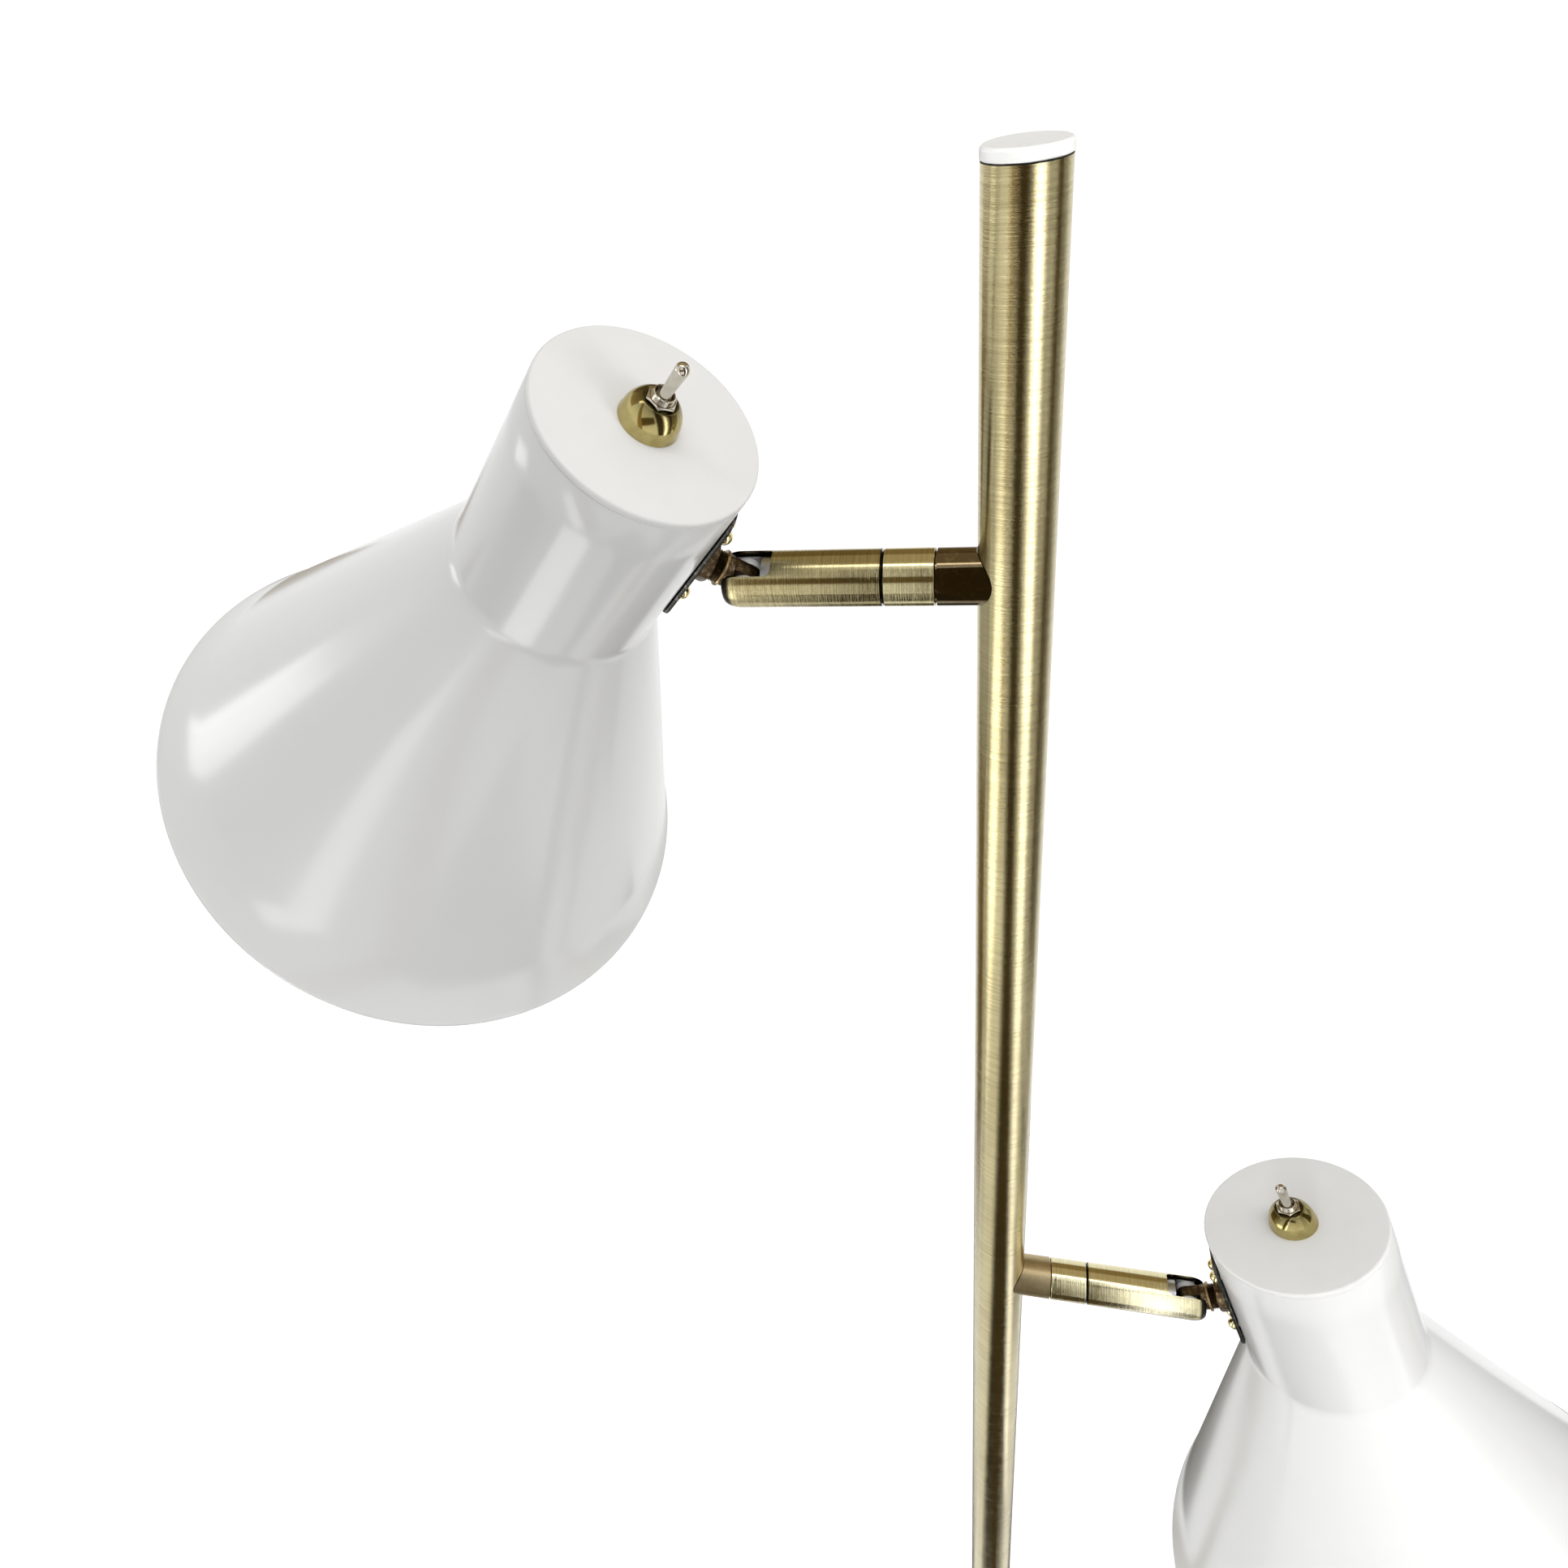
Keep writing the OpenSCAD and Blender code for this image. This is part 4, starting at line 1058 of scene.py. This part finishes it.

# %% [markdown]
# ## The cap and the base
#
# A white moulded cap closes the top of the pole, with a thin gap under it, and the dark line of that
# gap is painted shade on the cap's lower edge. At the foot, a pressed brass cover hides the cast
# weight, and a turned collar hides where the pole enters. All three are turned, so each is one
# outline, and only the inlet for the cord is cut from the cover.

# %% Turn the cap
POLE_R, POLE_BORE, POLE_TOP = 10.0, 9.0, 1625.0
CAP_LOW, CAP_THICK, CAP_EDGE = POLE_TOP + 0.3, 3.1, 1.1
cap_high, cap_r, plug_r = CAP_LOW + CAP_THICK, POLE_R + 0.15, POLE_BORE - 0.05
plug = [(0, POLE_TOP - 12), (POLE_BORE - 0.8, POLE_TOP - 12), (plug_r, POLE_TOP - 10.5), (plug_r, POLE_TOP)]
gap = [(POLE_R - 0.5, POLE_TOP), (POLE_R - 0.5, CAP_LOW), (POLE_R - 0.15, CAP_LOW)]
side = [(cap_r, CAP_LOW + 0.35)] + corner((cap_r - CAP_EDGE, cap_high - CAP_EDGE), CAP_EDGE, 0, 90, 12)
crown = [(POLE_R - 2.6, cap_high - 0.05), (0, cap_high - 0.12)]
cap = turned(plug + gap + side + crown, sides=128)
settle(cap, "top_cap")
add_piece(cap, "stand", lit_cap_white, "white_matt", "pole_cap")

# %% Turn the base cover and its collar
BASE_R, BASE_H, EDGE_H, COVER_WALL, BASE_EDGE, COVER_FOOT = 125.0, 22.0, 18.0, 1.5, 8.0, 1.5
HUB_R, STUD_HOLE_R, INLET_Z, INLET_HOLE_R = 30.0, 5.2, 7.0, 4.5
edge_centre, under = (BASE_R - BASE_EDGE, EDGE_H - BASE_EDGE), BASE_H - COVER_WALL
cover = turned(
    [(STUD_HOLE_R, BASE_H), (HUB_R, BASE_H), (HUB_R + 8, BASE_H - 0.1)]
    + corner(edge_centre, BASE_EDGE, 88, 0, 24)
    + [(BASE_R, COVER_FOOT + 0.2), (BASE_R - 0.2, COVER_FOOT), (BASE_R - COVER_WALL, COVER_FOOT)]
    + corner(edge_centre, BASE_EDGE - COVER_WALL, 0, 88, 16)
    + [(HUB_R, under), (STUD_HOLE_R, under), (STUD_HOLE_R, BASE_H)],
    sides=192,
)
clear_selection()
bpy.ops.mesh.primitive_cylinder_add(
    vertices=48, radius=INLET_HOLE_R * MM, depth=20 * MM, location=(0, BASE_R * MM, INLET_Z * MM),
    rotation=(math.radians(90), 0, 0),
)
combine(cover, bpy.context.object, "DIFFERENCE")
clean(cover)
settle(cover, "base_shell")
add_piece(cover, "stand", pole_brass, "antique_brass", "base_cover")

COLLAR_R, COLLAR_BORE, FLANGE, COLLAR_HIGH, DOMED_R = 15, POLE_R + 0.05, 2.5, 9, 3
flange = [
    (COLLAR_BORE, BASE_H), (COLLAR_R - 0.2, BASE_H), (COLLAR_R, BASE_H + 0.2),
    (COLLAR_R, BASE_H + FLANGE - 0.2), (COLLAR_R - 0.2, BASE_H + FLANGE),
]
domed = [(COLLAR_R - 1, BASE_H + FLANGE + 0.5)]
domed += corner((COLLAR_R - 1 - DOMED_R, BASE_H + COLLAR_HIGH - DOMED_R), DOMED_R, 0, 90, 12)
mouth = [
    (POLE_R + 0.25, BASE_H + COLLAR_HIGH), (COLLAR_BORE, BASE_H + COLLAR_HIGH - 0.2),
    (COLLAR_BORE, BASE_H),
]
collar = turned(flange + domed + mouth, sides=128)
settle(collar, "foot_collar")
add_piece(collar, "stand", base_collar_brass, "pale_brass", "base_collar")
print(len(made), "new pieces,", sum(made.values()), "faces")

# %% [markdown]
# ## The studio
#
# The photograph has a pure white background and soft light. The pale floor and the world are white
# to the camera, but light the lamp less than they look. Soft boxes hang overhead and stand to the
# right, two narrow ones draw the streaks on the upper cone and neck, three panes make the window
# that the upper cone mirrors, and two beams lift the lower head and the cap. Brushed and polished
# metal shows what stands round it, so tall cards, dark and pale, stand round the pole, and level
# ones lie on the floor and hang above, as photographers place them. Only reflections see the cards.


# %% Floor and world
def seen_in_view(tree):
    """1 for what the camera, reflections and glass see, and 0 for the light on the object."""
    light_path = tree.nodes.new("ShaderNodeLightPath")
    total = None
    for ray in ("Is Camera Ray", "Is Glossy Ray", "Is Transmission Ray"):
        if total is None:
            total = light_path.outputs[ray]
            continue
        either = tree.nodes.new("ShaderNodeMath")
        either.operation = "MAXIMUM"
        tree.links.new(total, either.inputs[0])
        tree.links.new(light_path.outputs[ray], either.inputs[1])
        total = either.outputs[0]
    return total


FLOOR_SIZE, FLOOR_GREY, FLOOR_GLOW = 60, (0.35, 0.35, 0.35, 1), 0.9
FILL = 0.54
clear_selection()
bpy.ops.mesh.primitive_plane_add(size=FLOOR_SIZE, location=(0, 0, 0))
floor = bpy.context.object
floor.name = "floor"
pale = bpy.data.materials.new("pale_floor")
pale.use_nodes = True
tree = pale.node_tree
shader = tree.nodes["Principled BSDF"]
shader.inputs["Base Color"].default_value = FLOOR_GREY
shader.inputs["Roughness"].default_value = 0.9
shader.inputs["Specular IOR Level"].default_value = 0
shader.inputs["Emission Color"].default_value = (1, 1, 1, 1)
strength = tree.nodes.new("ShaderNodeMath")
strength.operation = "MULTIPLY"
strength.inputs[1].default_value = FLOOR_GLOW
tree.links.new(seen_in_view(tree), strength.inputs[0])
tree.links.new(strength.outputs[0], shader.inputs["Emission Strength"])
floor.data.materials.append(pale)

world = bpy.data.worlds.new("studio")
bpy.context.scene.world = world
world.use_nodes = True
tree = world.node_tree
background = tree.nodes["Background"]
background.inputs["Color"].default_value = (1, 1, 1, 1)
strength = tree.nodes.new("ShaderNodeMapRange")
strength.inputs["To Min"].default_value = FILL
strength.inputs["To Max"].default_value = 1.0
tree.links.new(seen_in_view(tree), strength.inputs["Value"])
tree.links.new(strength.outputs["Result"], background.inputs["Strength"])
print("the floor is", FLOOR_SIZE, "m across, and the world lights the lamp by", FILL)


# %% Soft boxes
def direction(bearing, rise=0.0):
    """A direction from the pole, in degrees: 0 is towards the camera, and positive is to its right."""
    b, r = math.radians(bearing), math.radians(rise)
    return Vector((math.sin(b) * math.cos(r), -math.cos(b) * math.cos(r), math.sin(r)))


def facing(place, aim, along):
    """The turn of a lamp that looks at aim, with its height along a direction."""
    back = (Vector(place) - Vector(aim)).normalized()
    side = Vector(along).cross(back).normalized()
    return Matrix((side, back.cross(side), back)).transposed().to_euler()


def soft_box(name, place, aim, width, tall, power, mirrored=True, along=(0, 0, 1), lights=True):
    """A rectangular lamp. Without mirrored no reflection shows it, and without lights only they do."""
    light = bpy.data.lights.new(name, "AREA")
    light.shape = "RECTANGLE"
    light.size, light.size_y, light.energy = width, tall, power
    lamp = bpy.data.objects.new(name, light)
    bpy.context.scene.collection.objects.link(lamp)
    lamp.location = place
    lamp.rotation_euler = facing(place, aim, along)
    lamp.visible_glossy = mirrored
    lamp.visible_diffuse = lights
    print(name, "stands at", [round(v, 2) for v in place])
    return light


UPPER_CONE, UPPER_NECK = Vector((-0.2, -0.05, 1.46)), Vector((-0.1, -0.03, 1.55))
LOWER_HEAD, CAP_PLACE = (0.15, -0.03, 1.12), (0.0, 0.0, 1.636)
MIDDLE = Vector((0.0, 0.0, 1.4))
soft_box("overhead_strip", (0.1, -0.36, 3.0), MIDDLE, 1.5, 0.17, 3.2, along=(0, 1, 0))
soft_box("overhead_fill", (0.6, 0.0, 2.8), MIDDLE, 1.2, 1.2, 6.2, mirrored=False)
soft_box("right_box", (0.95, -0.5, 1.25), (0.05, 0.0, 1.3), 0.5, 0.7, 4.8, mirrored=False)
soft_box("cone_strip", (-0.677, -0.901, 1.193), UPPER_CONE, 0.2, 0.6, 0.95, along=(0.157, 0.363, -0.918))
soft_box("neck_strip", (-0.566, -0.376, 0.971), UPPER_NECK, 0.3, 0.4, 0.95, along=(0.254, -0.789, 0.56))

# %% Beams on the lower head and the cap
beam = soft_box("head_2_beam", (-0.15, -1.1, 1.5), LOWER_HEAD, 0.3, 0.3, 0.2, mirrored=False)
beam.spread = math.radians(32)
beam = soft_box("cap_beam", (0.05, -1.0, 1.72), CAP_PLACE, 0.03, 0.03, 0.006, mirrored=False)
beam.spread = math.radians(5)

# %% Window panes
PANE_BEARING, PANE_STEP, PANE_RISE, PANE_DISTANCE = -96.4, 6.6, 13.5, 1.2
PANE_WIDTH, PANE_TALL, PANE_POWER = 0.124, 0.26, 0.32
for k in range(3):
    pane = UPPER_CONE + direction(PANE_BEARING + PANE_STEP * k, PANE_RISE) * PANE_DISTANCE
    soft_box(f"window_pane_{k + 1}", pane, UPPER_CONE, PANE_WIDTH, PANE_TALL, PANE_POWER)

# %% The strip beside the pole
# The bright band down the pole is a slim lamp beside it, in eight lengths that brighten to the top.
# It shows in all but the white shades, lids and cap, and the floor, where it would draw a line.
COOL = (0.95, 0.97, 1.15)
STRIP_WIDTH, STRIP_LENGTH, STRIP_BEARING, STRIP_LEAN = 0.03, 0.0949, 47.8, 3.3
STRIP_DISTANCE, STRIP_MIDDLE_Z = 0.083, 1.2475
STRIP_TONES = (1.6, 1.6, 1.6, 1.6, 1.9, 2.4, 3.0, 3.74)
WHITE_THINGS = ("spun_shade", "shade", "lid", "top_cap", "floor")
reflectors = bpy.data.collections.new("pieces that the strip lights")
for thing in bpy.data.objects:
    if thing.type == "MESH" and not thing.name.startswith(WHITE_THINGS):
        reflectors.objects.link(thing)
strip_middle = direction(STRIP_BEARING) * STRIP_DISTANCE + Vector((0, 0, STRIP_MIDDLE_Z))
sideways = direction(STRIP_BEARING + 90) * math.tan(math.radians(STRIP_LEAN))
strip_up = (Vector((0, 0, 1)) - sideways).normalized()
for k, tone in enumerate(STRIP_TONES):
    place = strip_middle + strip_up * ((k - (len(STRIP_TONES) - 1) / 2) * STRIP_LENGTH)
    power = tone * math.pi * STRIP_WIDTH * STRIP_LENGTH
    strip = soft_box(
        f"pole_strip_{k + 1}", place, (0, 0, place.z), STRIP_WIDTH, STRIP_LENGTH, power,
        along=strip_up, lights=False,
    )
    strip.color = COOL
    bpy.data.objects[strip.name].light_linking.receiver_collection = reflectors


# %% Reflection cards
WARM, STRAW, NEUTRAL = (1.0, 0.72, 0.32), (1.0, 0.82, 0.52), (1.0, 1.0, 1.0)


def card(name, bearing, distance, width, low, high, tone, tint=NEUTRAL, lean=0):
    """An upright card that faces the pole and only reflections see. Tone 0 is black."""
    clear_selection()
    bpy.ops.mesh.primitive_plane_add(size=1)
    panel = bpy.context.object
    panel.name = name
    panel.scale = (width, high - low, 1)
    panel.location = direction(bearing) * distance + Vector((0, 0, (low + high) / 2))
    panel.rotation_euler = (-direction(bearing)).to_track_quat("Z", "Y").to_euler()
    panel.rotation_euler.rotate_axis("Z", math.radians(lean))
    material = bpy.data.materials.new(name)
    material.use_nodes = True
    surface = material.node_tree.nodes["Principled BSDF"]
    surface.inputs["Base Color"].default_value = (0, 0, 0, 1)
    surface.inputs["Specular IOR Level"].default_value = 0
    surface.inputs["Emission Color"].default_value = (*tint, 1)
    surface.inputs["Emission Strength"].default_value = tone
    panel.data.materials.append(material)
    panel.visible_camera = panel.visible_transmission = False
    panel.visible_diffuse = panel.visible_shadow = False
    return panel


card("card_dark_front", 13, 0.083, 0.052, 0.3, 1.68, 0.08, WARM, lean=-2.6)
card("card_dark_camera", -6, 0.33, 0.3, 1.55, 1.7, 0.16, WARM)
card("card_soft_left", -33, 0.35, 0.08, 1.2, 2.4, 0.4, WARM)
card("card_mid_right", 64, 0.42, 0.16, 0.3, 2.0, 0.65)
card("card_dark_right", 92, 0.6, 0.26, 0.3, 2.0, 0.12, WARM)
card("card_back_right", 116, 0.8, 0.3, 0.1, 1.55, 0.4)
card("card_mid_left", -77, 0.85, 0.29, 0.1, 1.5, 0.6)
card("card_dark_left", -113, 0.8, 0.6, 0.1, 1.42, 0.22, WARM)
card("card_back", 180, 1.3, 2.4, 1.7, 3.2, 0.25, WARM)
card("card_arm_1", -27, 0.23, 0.13, 1.385, 1.455, 0.95)
card("card_arm_2", 23, 0.245, 0.139, 1.06, 1.216, 0.8)


def lay_flat(name, centre, width, length, tone):
    """A level card: the dark floor before and behind the lamp, or the ceiling."""
    flat = card(name, 0, 0, width, 0, length, tone, STRAW)
    flat.rotation_euler = (0, 0, 0)
    flat.location = centre


lay_flat("card_floor_front", (0.1, -1.02, 0.001), 0.9, 1.66, 0.06)
lay_flat("card_floor_back", (0.0, 0.6, 0.001), 0.6, 0.8, 0.06)
lay_flat("card_ceiling", (0.0, 1.3, 3.3), 4.0, 3.6, 0.46)

bpy.context.scene.view_settings.view_transform = "Standard"
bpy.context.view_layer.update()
import json
